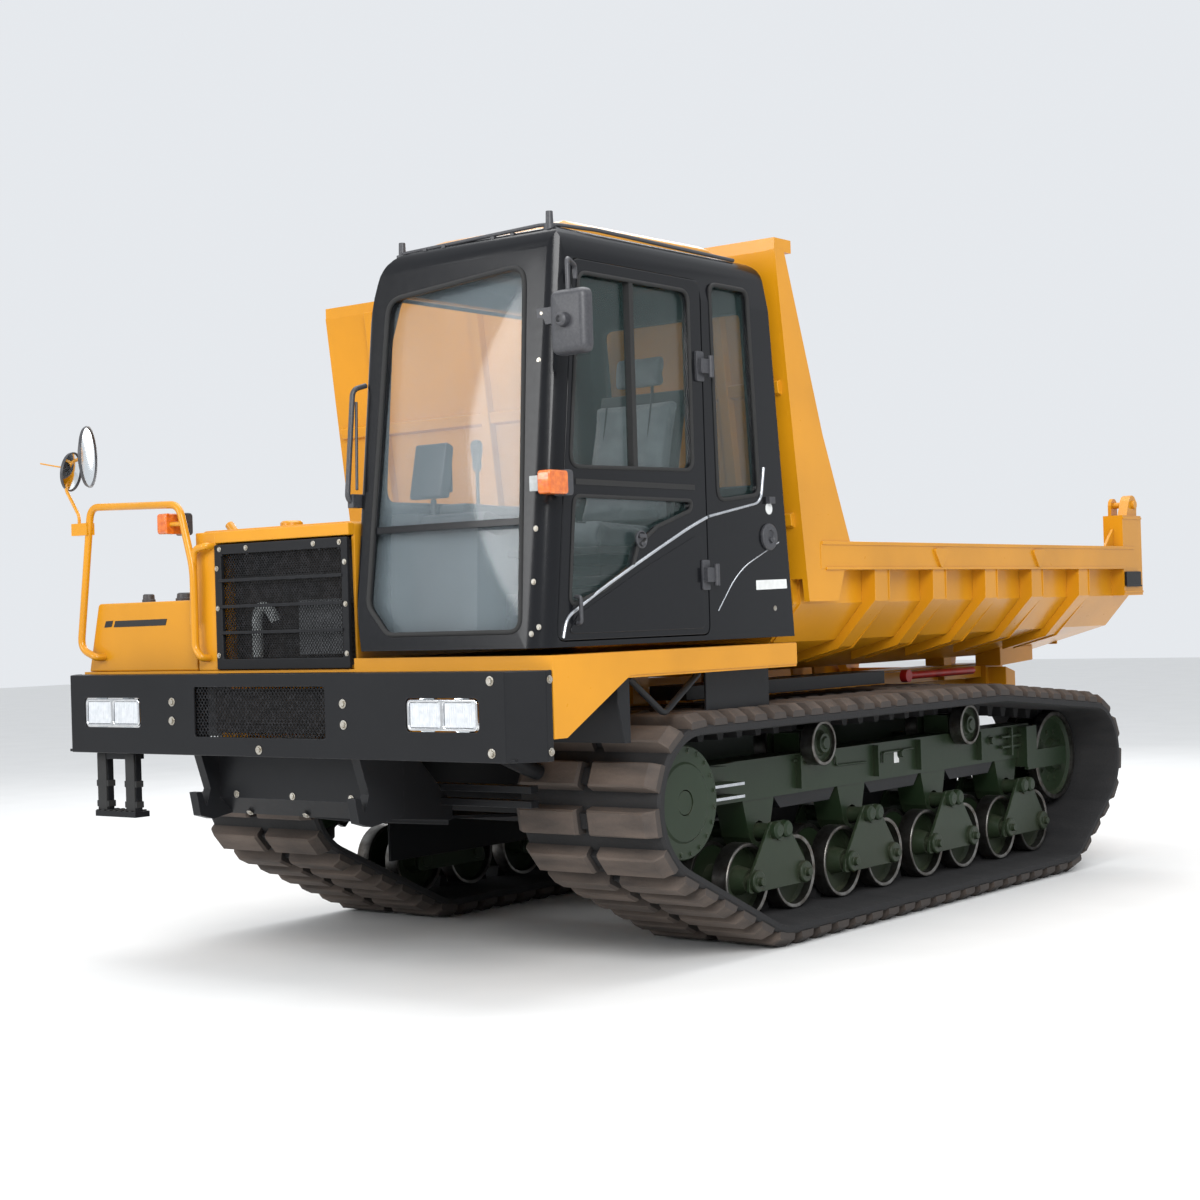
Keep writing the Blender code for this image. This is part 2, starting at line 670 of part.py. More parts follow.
def engine_hood():
    front = DECK[0] + GRILLE_DEPTH + 0.004
    shell = box(HOOD_SIDES, (front, HOOD_REAR), (DECK_TOP, HOOD_TOP))
    wall = 0.018
    cut(shell, box(
        (HOOD_SIDES[0] + wall, HOOD_SIDES[1] - wall), (front + wall, HOOD_REAR - wall),
        (DECK_TOP - 0.1, HOOD_TOP - wall),
    ))
    pillar = box(
        (HOOD_SIDES[0], HOOD_SIDES[0] + 0.125), (DECK[0], front + 0.01), (DECK_TOP, HOOD_TOP - 0.006)
    )
    finish(blend(shell, [pillar]), "engine_hood", YELLOW)


def radiator_grille():
    """A frame with four bars before a backing screen."""
    left, right = HOOD_SIDES[0] + 0.128, HOOD_SIDES[1]
    low, high = DECK_TOP + 0.004, HOOD_TOP - 0.055
    front, back = DECK[0], DECK[0] + GRILLE_DEPTH
    frame = box((left, right), (front, back), (low, high))
    border = 0.045
    bars = 3
    bar = 0.016
    opening = (high - low - 2 * border - bars * bar) / (bars + 1)
    for n in range(bars + 1):
        bottom = low + border + n * (opening + bar)
        slot = (bottom, bottom + opening)
        cut(frame, box((left + border, right - border), (front - 0.01, back - 0.008), slot))
    finish(frame, "radiator_grille", BLACK)


def fluid_tank():
    left, right = TANK_SIDES
    outline = [(left, DECK_TOP), (right, DECK_TOP), (right, TANK_TOP), (left + 0.075, TANK_TOP)]
    body = plate([outline], TANK_FRONT, TANK_REAR, axis="y")
    caps = [rod((x, 0.42, TANK_TOP - 0.01), (x, 0.42, TANK_TOP + 0.022), radius, 16)
            for x, radius in ((-1.03, 0.030), (-0.80, 0.045))]
    finish(blend(body, caps), "fluid_tank", YELLOW)


RAIL_TUBE = 0.0165
RAIL_STATION = 0.112
MIRROR_PIVOT = (-1.318, RAIL_STATION, 1.950)


def handrail():
    """Loop over the tank, its right leg running down beside a grab tube on the hood's pillar."""
    tank_face, pillar_face = TANK_FRONT - GAP, DECK[0] - GAP
    outer = bent_tube([
        (-1.225, tank_face, 1.340), (-1.225, RAIL_STATION + 0.008, 1.340), (-1.330, RAIL_STATION, 1.380),
        (-1.235, RAIL_STATION, 2.020), (-0.640, RAIL_STATION, 2.000), (-0.560, RAIL_STATION, 1.720),
        (-0.560, RAIL_STATION, 1.360), (-0.530, RAIL_STATION + 0.003, 1.335), (-0.530, pillar_face, 1.335),
    ], RAIL_TUBE, 0.07)
    grab = bent_tube([
        (-0.480, pillar_face, 1.812), (-0.480, RAIL_STATION, 1.812), (-0.562, RAIL_STATION + 0.003, 1.800),
        (-0.561, RAIL_STATION + 0.003, 1.500),
    ], RAIL_TUBE, 0.05)
    bracket = box((-1.345, -1.240), (RAIL_STATION - 0.022, RAIL_STATION + 0.022), (1.895, MIRROR_PIVOT[2]))
    stem = rod((-0.700, RAIL_STATION, 1.915), (-0.615, RAIL_STATION, 1.915), 0.014, 10)
    finish(blend(outer, [grab, bracket, stem]), "handrail", YELLOW)


def round_mirror():
    """Large and small round mirrors on one bent arm, with a marker rod."""
    pivot = MIRROR_PIVOT
    arm = bent_tube([
        (pivot[0], pivot[1], pivot[2] + GAP), (pivot[0], pivot[1], 1.990), (-1.408, pivot[1], 2.110),
        (-1.385, pivot[1] + 0.02, 2.240),
    ], 0.009, 0.03)
    big = rod((-1.303, 0.175, 2.250), (-1.310, 0.140, 2.250), 0.146, 24)
    small = rod((-1.412, 0.150, 2.190), (-1.405, 0.115, 2.190), 0.068, 18)
    boss = rod((-1.390, 0.140, 2.235), (-1.290, 0.150, 2.240), 0.014, 10)
    wand = rod((-1.400, 0.120, 2.215), (-MIRROR_REACH, 0.120, 2.215), 0.005, 8)
    link = rod((-1.400, 0.132, 2.120), (-1.405, 0.132, 2.195), 0.012, 8)
    finish(blend(arm, [boss, link, small, big, wand]), "round_mirror", BLACK, pivot)


# ---- cab ----------------------------------------------------------------------------------------

def front_at(z):
    return CAB_FRONT + (z - CAB_FLOOR) * FRONT_RAKE


def rear_at(z):
    return CAB_REAR + (z - CAB_FLOOR) * REAR_RAKE


def cab_side(inset=0.0, low=CAB_FLOOR, high=CAB_EAVES):
    """The cab's outline from the side, drawn in by an inset."""
    return [
        (front_at(low) + inset, low), (rear_at(low) - inset, low),
        (rear_at(high) - inset, high), (front_at(high) + inset, high),
    ]


SIDE_PLANE = CAB_SIDES[1]
DOOR_TOP = CAB_EAVES - 0.060
SHIELD = {"sides": (0.455, 1.245), "height": (1.414, 2.830)}
FAR_WINDOW = [(0.320, 1.950), (1.600, 1.950), (1.540, 2.800), (0.400, 2.800)]


def side_glass():
    """Pane over the right-hand window, against the inside of the wall."""
    inside = CAB_SIDES[0] + CAB_WALL + GAP
    lap = 0.020
    (a, low), (b, _), (c, high), (d, _) = FAR_WINDOW
    outline = [(a - lap, low - lap), (b + lap, low - lap), (c + lap, high + lap), (d - lap, high + lap)]
    pane = plate([outline], inside, inside + 0.006)
    finish(pane, "side_glass", GLASS)


CAB_MIRROR_PIVOT = (1.400, 0.330, 2.775)


def mirror_bracket():
    """Lug on the cab's front pillar that the mirror arm turns in."""
    x, station, z = CAB_MIRROR_PIVOT
    return box(
        (SIDE_PLANE - 0.006, x + 0.020), (station - 0.016, station + 0.020), (z - 0.055, z - 0.030 - GAP)
    )


def cab_frame():
    """Floor and walls in one pressing, open at the front, the door, the quarters and the rear."""
    left, right = CAB_SIDES
    shell = plate([cab_side()], left, right)
    inside = cab_side(CAB_WALL, CAB_FLOOR + 0.049, CAB_EAVES + 0.2)
    hollow = plate([inside], left + CAB_WALL, right - CAB_WALL)
    shield = box(SHIELD["sides"], (0.0, 0.60), SHIELD["height"])
    door_low = CAB_FLOOR + 0.020
    doorway = plate([[
        (front_at(door_low) + 0.080, door_low), (DOOR_REAR, door_low), (DOOR_REAR, DOOR_TOP),
        (front_at(DOOR_TOP) + 0.080, DOOR_TOP),
    ]], right - 0.20, right + 0.10)
    quarter_window = [(1.290, 1.930), (1.600, 1.960), (1.555, 2.830), (1.275, 2.830)]
    quarter = plate([quarter_window], right - 0.20, right + 0.1)
    far = plate([FAR_WINDOW], left - 0.1, left + 0.20)
    rear = box((left + 0.11, right - 0.11), (1.40, 2.1), (2.000, 2.780))
    cut(shell, hollow, shield, doorway, quarter, far, rear)
    finish(blend(shell, [mirror_bracket()]), "cab_frame", BLACK)


def cab_roof():
    """Low pressed roof with rounded edges."""
    low, high = CAB_EAVES + GAP, ROOF_TOP
    outline = [
        (front_at(low), low), (rear_at(low), low),
        (rear_at(high), high - 0.030), (rear_at(high) - 0.10, high),
        (front_at(low) + 0.16, high), (front_at(low) + 0.02, high - 0.045),
    ]
    roof = plate([outline], *CAB_SIDES)
    finish(roof, "cab_roof", BLACK)


def windshield():
    """Flat pane against the inside of the front opening."""
    z = (SHIELD["height"][0] - 0.010, SHIELD["height"][1] + 0.020)
    inside = CAB_WALL + GAP
    pane = plate([[
        (front_at(z[0]) + inside, z[0]), (front_at(z[0]) + inside + 0.008, z[0]),
        (front_at(z[1]) + inside + 0.008, z[1]), (front_at(z[1]) + inside, z[1]),
    ]], SHIELD["sides"][0] - 0.025, SHIELD["sides"][1] + 0.025)
    finish(pane, "windshield", GLASS)


DOOR_CLEAR = 0.004
DOOR_SKIN = 0.036
DOOR_AXIS = (SIDE_PLANE + DOOR_HINGE_OUT, DOOR_REAR + 0.014)


def door_outline(shrink):
    low, high = CAB_FLOOR + 0.020 + shrink, DOOR_TOP - shrink
    return [
        (front_at(low) + 0.080 + shrink, low), (DOOR_REAR - shrink, low), (DOOR_REAR - shrink, high),
        (front_at(high) + 0.080 + shrink, high),
    ]


def cab_door():
    """Framed door, glazed above and below its waist rail, on two hinge knuckles at its rear edge."""
    outside = SIDE_PLANE
    door = plate([door_outline(DOOR_CLEAR)], outside - DOOR_SKIN, outside)
    upper = [(0.365, 2.030), (1.120, 2.050), (1.120, 2.770), (0.440, 2.770)]
    lower = [(0.325, 1.490), (0.745, 1.650), (1.100, 1.935), (0.375, 1.940)]
    cut(door, *(plate([window], outside - 0.2, outside + 0.1) for window in (upper, lower)))
    knuckles = []
    for height in (1.620, 2.611):
        knuckles.append(rod((DOOR_AXIS[0], DOOR_AXIS[1], height - 0.045),
                            (DOOR_AXIS[0], DOOR_AXIS[1], height + 0.045), 0.013, 12))
        knuckles.append(box((outside - 0.006, DOOR_AXIS[0] + 0.004),
                            (DOOR_REAR - 0.080, DOOR_REAR - DOOR_CLEAR - 0.001),
                            (height - 0.035, height + 0.035)))
        knuckles.append(box((outside + 0.004, DOOR_AXIS[0] + 0.002),
                            (DOOR_REAR - 0.020, DOOR_AXIS[1] + 0.002),
                            (height - 0.033, height + 0.033)))
    pad = box((outside - 0.030, outside + 0.004), (0.690, 0.800), (1.600, 1.800))
    grip = box((outside - 0.004, outside + 0.020), (0.660, 0.800), (1.742, 1.778))
    finish(blend(door, [*knuckles, pad, grip]), "cab_door", BLACK, (*DOOR_AXIS, CAB_FLOOR))


def door_glass():
    inside = SIDE_PLANE - DOOR_SKIN - GAP
    outline = [(0.330, 1.470), (1.150, 1.790), (1.150, 2.800), (0.450, 2.800), (0.400, 2.700), (0.345, 2.000)]
    pane = plate([outline], inside - 0.006, inside)
    finish(pane, "door_glass", GLASS, (*DOOR_AXIS, CAB_FLOOR))


SEAT_MIDDLE = 0.860
FLOOR_TOP = CAB_FLOOR + 0.049
SEAT_LEAN = 0.14


def seat():
    """Pedestal, cushion, leaning back and headrest."""
    half = 0.245
    base = box((SEAT_MIDDLE - 0.17, SEAT_MIDDLE + 0.17), (0.92, 1.27), (FLOOR_TOP + GAP, 1.735))
    cushion = box((SEAT_MIDDLE - half, SEAT_MIDDLE + half), (0.800, 1.310), (1.720, 1.850))
    back = plate([[(1.230, 1.800), (1.345, 1.800), (1.345 + SEAT_LEAN, 2.430), (1.255 + SEAT_LEAN, 2.430)]],
                 SEAT_MIDDLE - half + 0.01, SEAT_MIDDLE + half - 0.01)
    rest = box((SEAT_MIDDLE - 0.13, SEAT_MIDDLE + 0.13), (1.395, 1.470), (2.420, 2.600))
    finish(blend(cushion, [base, back, rest]), "seat", CLOTH, (SEAT_MIDDLE, 1.05, FLOOR_TOP))


CONSOLE_SIDES = (0.410, 0.560)
CONSOLE_TOP = 1.900
LEVER_AT = (0.485, 0.780, 1.915)


def control_console():
    """Box beside the seat, running forward into the dashboard under the windshield."""
    side = box(CONSOLE_SIDES, (0.330, 1.350), (FLOOR_TOP + GAP, CONSOLE_TOP))
    dash = plate([[(0.300, FLOOR_TOP + GAP), (0.470, FLOOR_TOP + GAP), (0.500, 1.780), (0.320, 1.830)]],
                 CONSOLE_SIDES[0] + 0.004, 0.880)
    socket = box((LEVER_AT[0] - 0.045, LEVER_AT[0] + 0.045), (LEVER_AT[1] - 0.10, LEVER_AT[1] + 0.10),
                 (CONSOLE_TOP - 0.080, CONSOLE_TOP + 0.1))
    cut(side, socket)
    shaft = rod((CONSOLE_SIDES[0] + 0.01, LEVER_AT[1], CONSOLE_TOP - 0.035),
                (CONSOLE_SIDES[1] - 0.01, LEVER_AT[1], CONSOLE_TOP - 0.035), 0.008, 10)
    finish(blend(side, [dash, shaft]), "control_console", PLASTIC)


def travel_lever():
    pivot = (LEVER_AT[0], LEVER_AT[1], CONSOLE_TOP - 0.035)
    x, station, z = pivot
    boss = rod((x - 0.020, station, z), (x + 0.020, station, z), 0.022, 14)
    cut(boss, rod((x - 0.1, station, z), (x + 0.1, station, z), 0.008 + RUN, 12))
    stem = rod((x, station, z + 0.015), (x, station, 2.120), 0.008, 10)
    profile = [(0.0, 0.0), (0.0, 0.014), (0.020, 0.020), (0.080, 0.027), (0.130, 0.020), (0.135, 0.0)]
    grip = turned(profile, (x, station, 2.090), 14, (0, 0, 1))
    finish(blend(boss, [stem, grip]), "travel_lever", PLASTIC, pivot)


def cab_mirror():
    """Rectangular mirror hanging from an arm that swings on the cab's front pillar."""
    pivot = CAB_MIRROR_PIVOT
    arm = bent_tube([
        (pivot[0], pivot[1], pivot[2] - 0.03), (pivot[0], pivot[1], pivot[2] + 0.02),
        (1.490, 0.170, 2.795), (1.500, 0.150, 2.620), (1.500, 0.150, 2.480),
    ], 0.010, 0.03)
    head = box((1.420, MIRROR_REACH), (0.125, 0.185), (2.430, 2.680))
    bevel = head.modifiers.new("round", "BEVEL")
    bevel.width = 0.022
    bevel.segments = 2
    finish(blend(arm, [head]), "cab_mirror", BLACK, pivot)


# ---- dump body ----------------------------------------------------------------------------------

def trough():
    """Half section of the bed, outer then inner face, as (x, z)."""
    outer = [(1.300, BED_TOP - 0.06), (1.300, 1.490), (1.150, 1.320), (0.620, BED_FLOOR)]
    inner = [(0.613, BED_FLOOR + BED_SHEET), (1.137, 1.320 + BED_SHEET), (1.300 - BED_SHEET, 1.502),
             (1.300 - BED_SHEET, BED_TOP - 0.06)]
    mirrored = [(-x, z) for x, z in reversed(outer)]
    return outer + mirrored + [(-x, z) for x, z in reversed(inner)] + inner


RIB_STATIONS = (2.600, 3.150, 3.690, 4.210, 4.780)
RIB_WIDTH = 0.135


def headboard_at(z):
    return BED_FRONT + (z - BED_FLOOR) * HEADBOARD_LEAN + 0.045


def dump_body():
    """Trough with ribs, top rails, tail posts, headboard with side wings, and hinge lugs."""
    bed = plate([trough()], BED_FRONT, TAIL - 0.020, axis="y")
    pieces = []
    foot = 1.500
    for side in SIDES.values():
        def span(low, high, flip=side):
            return sorted((flip * low, flip * high))

        pieces.append(box(span(1.255, BODY_HALF), (2.06, TAIL - 0.10), (BED_TOP - 0.119, BED_TOP)))
        pieces.append(box(span(1.262, BODY_HALF - 0.001), (TAIL - TAIL_POST, TAIL), (1.490, 1.945)))
        eye = plate([round_outline([
            (TAIL - 0.055, GATE_HINGE_HEIGHT, 0.054), (TAIL - 0.110, 1.900, 0.050),
            (TAIL - 0.060, 1.900, 0.050),
        ], 5)], *span(1.300, 1.355))
        pieces.append(eye)
        pieces.append(rod((side * 1.325, TAIL - 0.055, GATE_HINGE_HEIGHT),
                          (side * 1.215, TAIL - 0.055, GATE_HINGE_HEIGHT), 0.018, 12))
        lean = HEADBOARD_LEAN
        wing = [
            (headboard_at(foot) - 0.045, foot), (headboard_at(foot) + 0.20, foot), (2.315, BED_TOP + 0.004),
            (2.106, 2.246), (headboard_at(HEADBOARD_TOP) + 0.03, HEADBOARD_TOP),
            (headboard_at(HEADBOARD_TOP) - 0.045, HEADBOARD_TOP),
        ]
        pieces.append(plate([wing], *span(1.350, BODY_HALF - 0.002)))
        for station in RIB_STATIONS:
            rib = plate([[(side * 1.262, 1.700), (side * (BODY_HALF - 0.010), 1.700),
                          (side * (BODY_HALF - 0.010), 1.495), (side * 1.160, 1.285), (side * 0.900, 1.215),
                          (side * 0.900, 1.270), (side * 1.140, 1.340), (side * 1.280, 1.500)]],
                        station - RIB_WIDTH / 2, station + RIB_WIDTH / 2, axis="y")
            pieces.append(rib)
        lug = plate([round_outline([
            (*HINGE_AT, 0.052), (HINGE_AT[0] + 0.06, BED_FLOOR + 0.010, 0.02),
            (HINGE_AT[0] - 0.10, BED_FLOOR + 0.010, 0.02),
        ], 5)], *span(0.300, 0.360))
        cut(lug, rod((-0.5, *HINGE_AT), (0.5, *HINGE_AT), 0.030 + RUN, 16))
        pieces.append(lug)
        cheek = plate([round_outline([
            (*HOIST_HEAD, 0.040), (HOIST_HEAD[0] + 0.03, BED_FLOOR, 0.03),
            (HOIST_HEAD[0] - 0.03, BED_FLOOR, 0.03),
        ], 4)], *span(0.062, 0.080))
        pieces.append(cheek)
    at_foot, at_top = headboard_at(BED_FLOOR), headboard_at(HEADBOARD_TOP)
    board = plate([[
        (at_foot - 0.045, BED_FLOOR + 0.002), (at_foot, BED_FLOOR + 0.002),
        (at_top, HEADBOARD_TOP - 0.004), (at_top - 0.045, HEADBOARD_TOP - 0.004),
    ]], -1.360, 1.360)
    below = [(1.5, 0.9), (1.5, 1.6), (1.29, 1.6), (1.29, 1.490), (1.145, 1.325), (0.618, BED_FLOOR + 0.004)]
    cut(board, plate([below + [(-x, z) for x, z in reversed(below)]], 1.7, 2.3, axis="y"))
    lip = box(
        (-BODY_HALF + 0.004, BODY_HALF - 0.004), (at_top - 0.044, at_top + 0.09),
        (HEADBOARD_TOP - 0.006, HEADBOARD_TOP + 0.050),
    )
    finish(blend(bed, [board, *pieces, lip]), "dump_body", YELLOW, (0, *HINGE_AT))


GATE_CLEAR = 0.006


def tailgate():
    """Panel across the tail, hung from the posts' eyes by two arms."""
    rear = TAIL - 0.014
    front = rear - 0.035
    c = GATE_CLEAR
    half = [
        (1.255 - c, 1.700), (1.255 - c, 1.512), (1.128 - c, 1.320 + BED_SHEET + c),
        (0.60, BED_FLOOR + BED_SHEET + c),
    ]
    outline = half + [(-x, z) for x, z in reversed(half)]
    panel = plate([outline], front, rear, axis="y")
    hinge = (TAIL - 0.055, GATE_HINGE_HEIGHT)
    pieces = []
    for side in SIDES.values():
        arm = plate([round_outline([
            (*hinge, 0.042), (rear - 0.045, 1.560, 0.040), (rear - 0.040, 1.560, 0.040),
        ], 5)], *sorted((side * 1.222, side * 1.242)))
        cut(arm, rod((-1.4, *hinge), (1.4, *hinge), 0.018 + RUN, 12))
        pieces.append(arm)
    stiffener = box((-1.20, 1.20), (rear - 0.060, rear - 0.006), (1.580, 1.640))
    finish(blend(panel, [*pieces, stiffener]), "tailgate", YELLOW, (0, *hinge))


def hoist_line(share):
    """A point between the hoist's foot and its head."""
    return tuple(a + (b - a) * share for a, b in zip(HOIST_FOOT, HOIST_HEAD))


def hoist():
    """Cylinder barrel on the frame's cross shaft, and the rod that slides in it."""
    barrel = rod((0, *hoist_line(0.03)), (0, *hoist_line(0.84)), BARREL_RADIUS, 20)
    eye = rod((-0.055, *HOIST_FOOT), (0.055, *HOIST_FOOT), 0.052, 16)
    blend(barrel, [eye])
    cut(barrel, rod((-0.2, *HOIST_FOOT), (0.2, *HOIST_FOOT), 0.022 + RUN, 12),
        rod((0, *hoist_line(0.09)), (0, *hoist_line(0.90)), ROD_RADIUS + RUN, 20))
    finish(barrel, "hoist_barrel", BLACK, (0, *HOIST_FOOT))
    slider = rod((0, *hoist_line(0.10)), (0, *hoist_line(0.99)), ROD_RADIUS, 20)
    head = rod((-0.048, *HOIST_HEAD), (0.048, *HOIST_HEAD), 0.034, 16)
    finish(blend(slider, [head]), "hoist_rod", STEEL, (0, *HOIST_HEAD))


# ---- the whole machine --------------------------------------------------------------------------

for word, flip in SIDES.items():
    belt(f"rubber_track_{word}", flip)
    sprocket(f"sprocket_{word}", flip)
    idler(f"idler_{word}", flip)
    for number, at in enumerate(CARRIER_STATIONS, 1):
        carrier_roller(f"carrier_roller_{word}_{number}", flip, at)
    for number, at in enumerate(BOGIE_STATIONS, 1):
        bogie(f"bogie_{word}_{number}", flip, at)
        road_roller(f"road_roller_{word}_{number}a", flip, at - ROLLER_SPREAD)
        road_roller(f"road_roller_{word}_{number}b", flip, at + ROLLER_SPREAD)

undercarriage_frame()
main_frame()
front_bumper()
for word, at in LAMP_CENTRES.items():
    headlamp(f"headlamp_{word}", at)
belly_guard()
boarding_step()
engine_hood()
radiator_grille()
fluid_tank()
handrail()
round_mirror()
cab_frame()
cab_roof()
windshield()
side_glass()
cab_door()
door_glass()
seat()
control_console()
travel_lever()
cab_mirror()
dump_body()
tailgate()
hoist()
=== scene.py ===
# %% [markdown]
# # A rubber-tracked dump carrier
# The machine carries soil over soft ground: two wide rubber belts, a cab beside the engine, and a steel
# trough that tips to the rear. The CAD model gives the true sizes and the joints; this lesson adds what
# the eye looks for: pressed edges, glass and seals, bolts, tread, paint, dust and wear.

# %% Load the frame
import json
import math

import bmesh
import bpy
from mathutils import Matrix, Vector


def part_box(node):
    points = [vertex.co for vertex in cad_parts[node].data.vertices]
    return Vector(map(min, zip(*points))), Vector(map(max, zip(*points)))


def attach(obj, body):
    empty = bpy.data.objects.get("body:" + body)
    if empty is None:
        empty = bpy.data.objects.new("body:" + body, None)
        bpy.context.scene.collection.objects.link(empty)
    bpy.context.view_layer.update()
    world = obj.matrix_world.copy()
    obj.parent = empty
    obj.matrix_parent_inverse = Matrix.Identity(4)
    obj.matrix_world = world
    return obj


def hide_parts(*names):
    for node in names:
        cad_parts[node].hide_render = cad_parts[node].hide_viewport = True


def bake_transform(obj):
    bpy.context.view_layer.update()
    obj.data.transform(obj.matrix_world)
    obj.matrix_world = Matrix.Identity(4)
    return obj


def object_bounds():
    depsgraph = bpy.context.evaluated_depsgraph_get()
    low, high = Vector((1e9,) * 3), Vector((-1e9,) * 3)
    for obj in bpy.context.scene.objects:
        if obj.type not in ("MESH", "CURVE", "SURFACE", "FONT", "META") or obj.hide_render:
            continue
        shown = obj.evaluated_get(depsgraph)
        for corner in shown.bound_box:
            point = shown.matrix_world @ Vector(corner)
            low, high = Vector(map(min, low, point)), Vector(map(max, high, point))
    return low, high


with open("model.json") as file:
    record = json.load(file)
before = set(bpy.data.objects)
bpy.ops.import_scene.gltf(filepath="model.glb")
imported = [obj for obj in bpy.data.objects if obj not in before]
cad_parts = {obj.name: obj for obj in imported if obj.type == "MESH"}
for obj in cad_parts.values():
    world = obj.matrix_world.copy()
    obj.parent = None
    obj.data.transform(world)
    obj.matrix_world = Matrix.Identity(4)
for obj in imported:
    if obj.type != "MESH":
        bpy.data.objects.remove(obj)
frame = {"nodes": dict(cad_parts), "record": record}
cad_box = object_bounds()
nodes = frame["nodes"]
joints = {joint["name"]: joint for joint in frame["record"]["behaviour"]["joints"]}
print(len(nodes), "CAD nodes in a box of", [round(b - a, 3) for a, b in zip(*cad_box)])

# %% [markdown]
# ## Where things are
# A drawing of a vehicle is read in stations: distances back from the bumper's face. `place` turns
# (across, station, height) into the frame's coordinates, so every number below is one that a maker
# could check with a tape. Across is positive towards the cab, which is on the machine's left.

# %% Stations
FRONT = cad_box[0][1]


def place(x, station, z):
    return Vector((x, FRONT + station, z))


def pivot(joint):
    """A joint's place as (across, station, height)."""
    x, y, z = joints[joint]["pos_m"]
    return x, y - FRONT, z


print("bumper face at y =", round(FRONT, 4), "and the tipping hinge at", pivot("dump_tip"))

# %% [markdown]
# ## Camera, floor and light
# The machine is seen from its front left corner, from the height of a standing person's chest, with a
# medium long lens. The camera's rotation is built from yaw, pitch and roll, because a hand-held shot is
# never quite level. A pale floor and large soft lamps keep the paint's own colours readable.

# %% Camera
YAW, PITCH, ROLL = 0.662, 0.007, -0.030
ahead = Vector((-math.sin(YAW) * math.cos(PITCH), math.cos(YAW) * math.cos(PITCH), math.sin(PITCH)))
across = Vector((math.cos(YAW), math.sin(YAW), 0.0))
upward = across.cross(ahead)
right = across * math.cos(ROLL) + upward * math.sin(ROLL)
above = upward * math.cos(ROLL) - across * math.sin(ROLL)
lens = bpy.data.cameras.new("camera")
lens.lens = 62.34
camera = bpy.data.objects.new("camera", lens)
bpy.context.scene.collection.objects.link(camera)
camera.matrix_world = Matrix.Translation(place(6.280, -5.838, 1.470)) @ Matrix(
    (right, above, -ahead)).transposed().to_4x4()
bpy.context.scene.camera = camera
print("camera looks along", [round(v, 3) for v in ahead])

# %% [markdown]
# ## Shader expressions
# A material is a graph, but its maths reads best as maths. `Wire` wraps a node's output and turns
# `1 - mask * 0.5` into Math nodes, so an expression reads the same way as it would on paper.

# %% Arithmetic on sockets
class Wire:
    """A node's output that can be used in arithmetic."""

    def __init__(self, finish, socket):
        self.finish, self.socket = finish, socket

    def math(self, operation, first, second):
        return self.finish.node("Math", {"operation": operation}, {0: first, 1: second})

    def __add__(self, other):
        return self.math("ADD", self, other)

    def __sub__(self, other):
        return self.math("SUBTRACT", self, other)

    def __mul__(self, other):
        return self.math("MULTIPLY", self, other)

    def __rsub__(self, other):
        return self.math("SUBTRACT", other, self)

    __radd__, __rmul__ = __add__, __mul__


print("a wire can be used with", [name for name in vars(Wire) if name.endswith(("add__", "sub__", "mul__"))])

# %% [markdown]
# ## A finish under construction
# A paint or a plastic could be set up by hand in the shader editor. Here a small class does it, so that a
# finish is one line of values and its wear is a few lines of maths. Settings come first, because some of
# them, such as a Mix node's data type, change which sockets the node has.

# %% Shader helpers
class Finish:
    """A Principled material under construction."""

    def __init__(self, name, slot, colour, roughness, **constants):
        self.material = bpy.data.materials.new(name)
        self.material.use_nodes = True
        self.slot = slot
        self.colour, self.roughness = (*colour, 1.0), roughness
        self.nodes = self.material.node_tree.nodes
        self.shader = self.nodes["Principled BSDF"]
        self.feed(self.shader, {"Base Color": self.colour, "Roughness": roughness})
        self.feed(self.shader, {key.replace("_", " "): value for key, value in constants.items()})

    def feed(self, node, values):
        for socket, value in values.items():
            if isinstance(value, Wire):
                self.material.node_tree.links.new(value.socket, node.inputs[socket])
            else:
                node.inputs[socket].default_value = value

    def node(self, kind, settings=None, values=None, output=0):
        made = self.nodes.new("ShaderNode" + kind)
        for setting, value in (settings or {}).items():
            if setting == "stops":
                ramp = made.color_ramp.elements
                ramp[0].position, ramp[-1].position = value[0], value[-1]
            else:
                setattr(made, setting, value)
        self.feed(made, values or {})
        return Wire(self, made.outputs[output])

    def where(self):
        return self.node("TexCoord", output=3)

    def noise(self, scale, detail=3.0, stretch=(1.0, 1.0, 1.0)):
        spot = self.node("Mapping", {}, {"Vector": self.where(), "Scale": stretch})
        return self.node("TexNoise", {}, {"Vector": spot, "Scale": scale, "Detail": detail})

    def between(self, value, low, high, to_low=0.0, to_high=1.0):
        """Spread the part of a value between low and high over another range."""
        return self.node("MapRange", {}, {0: value, 1: low, 2: high, 3: to_low, 4: to_high})

    def mix(self, factor, first, second):
        first, second = ((*c, 1.0) if isinstance(c, tuple) and len(c) == 3 else c for c in (first, second))
        return self.node("Mix", {"data_type": "RGBA"}, {0: factor, 6: first, 7: second}, 2)

    def part(self, vector, axis):
        """One component of a vector, by letter."""
        return self.node("SeparateXYZ", {}, {0: vector}, "xyz".index(axis))

    def relief(self, height, distance, strength=1.0):
        bump = self.node("Bump", {}, {"Height": height, "Distance": distance, "Strength": strength})
        self.feed(self.shader, {"Normal": bump})

    def colour_by(self, wire):
        self.feed(self.shader, {"Base Color": wire})
        return wire


print("helpers ready:", [name for name in vars(Finish) if name[0] != "_"])

# %% [markdown]
# ## Weather on paint
# A machine that works outdoors is never one colour. Three things show: slow variation of the coat,
# dust that settles on faces that look up and in corners, and edges rubbed brighter. Dust is found with
# the surface's own normal, corners with an ambient occlusion node, and rubbed edges by comparing the
# true normal with a bevelled one.

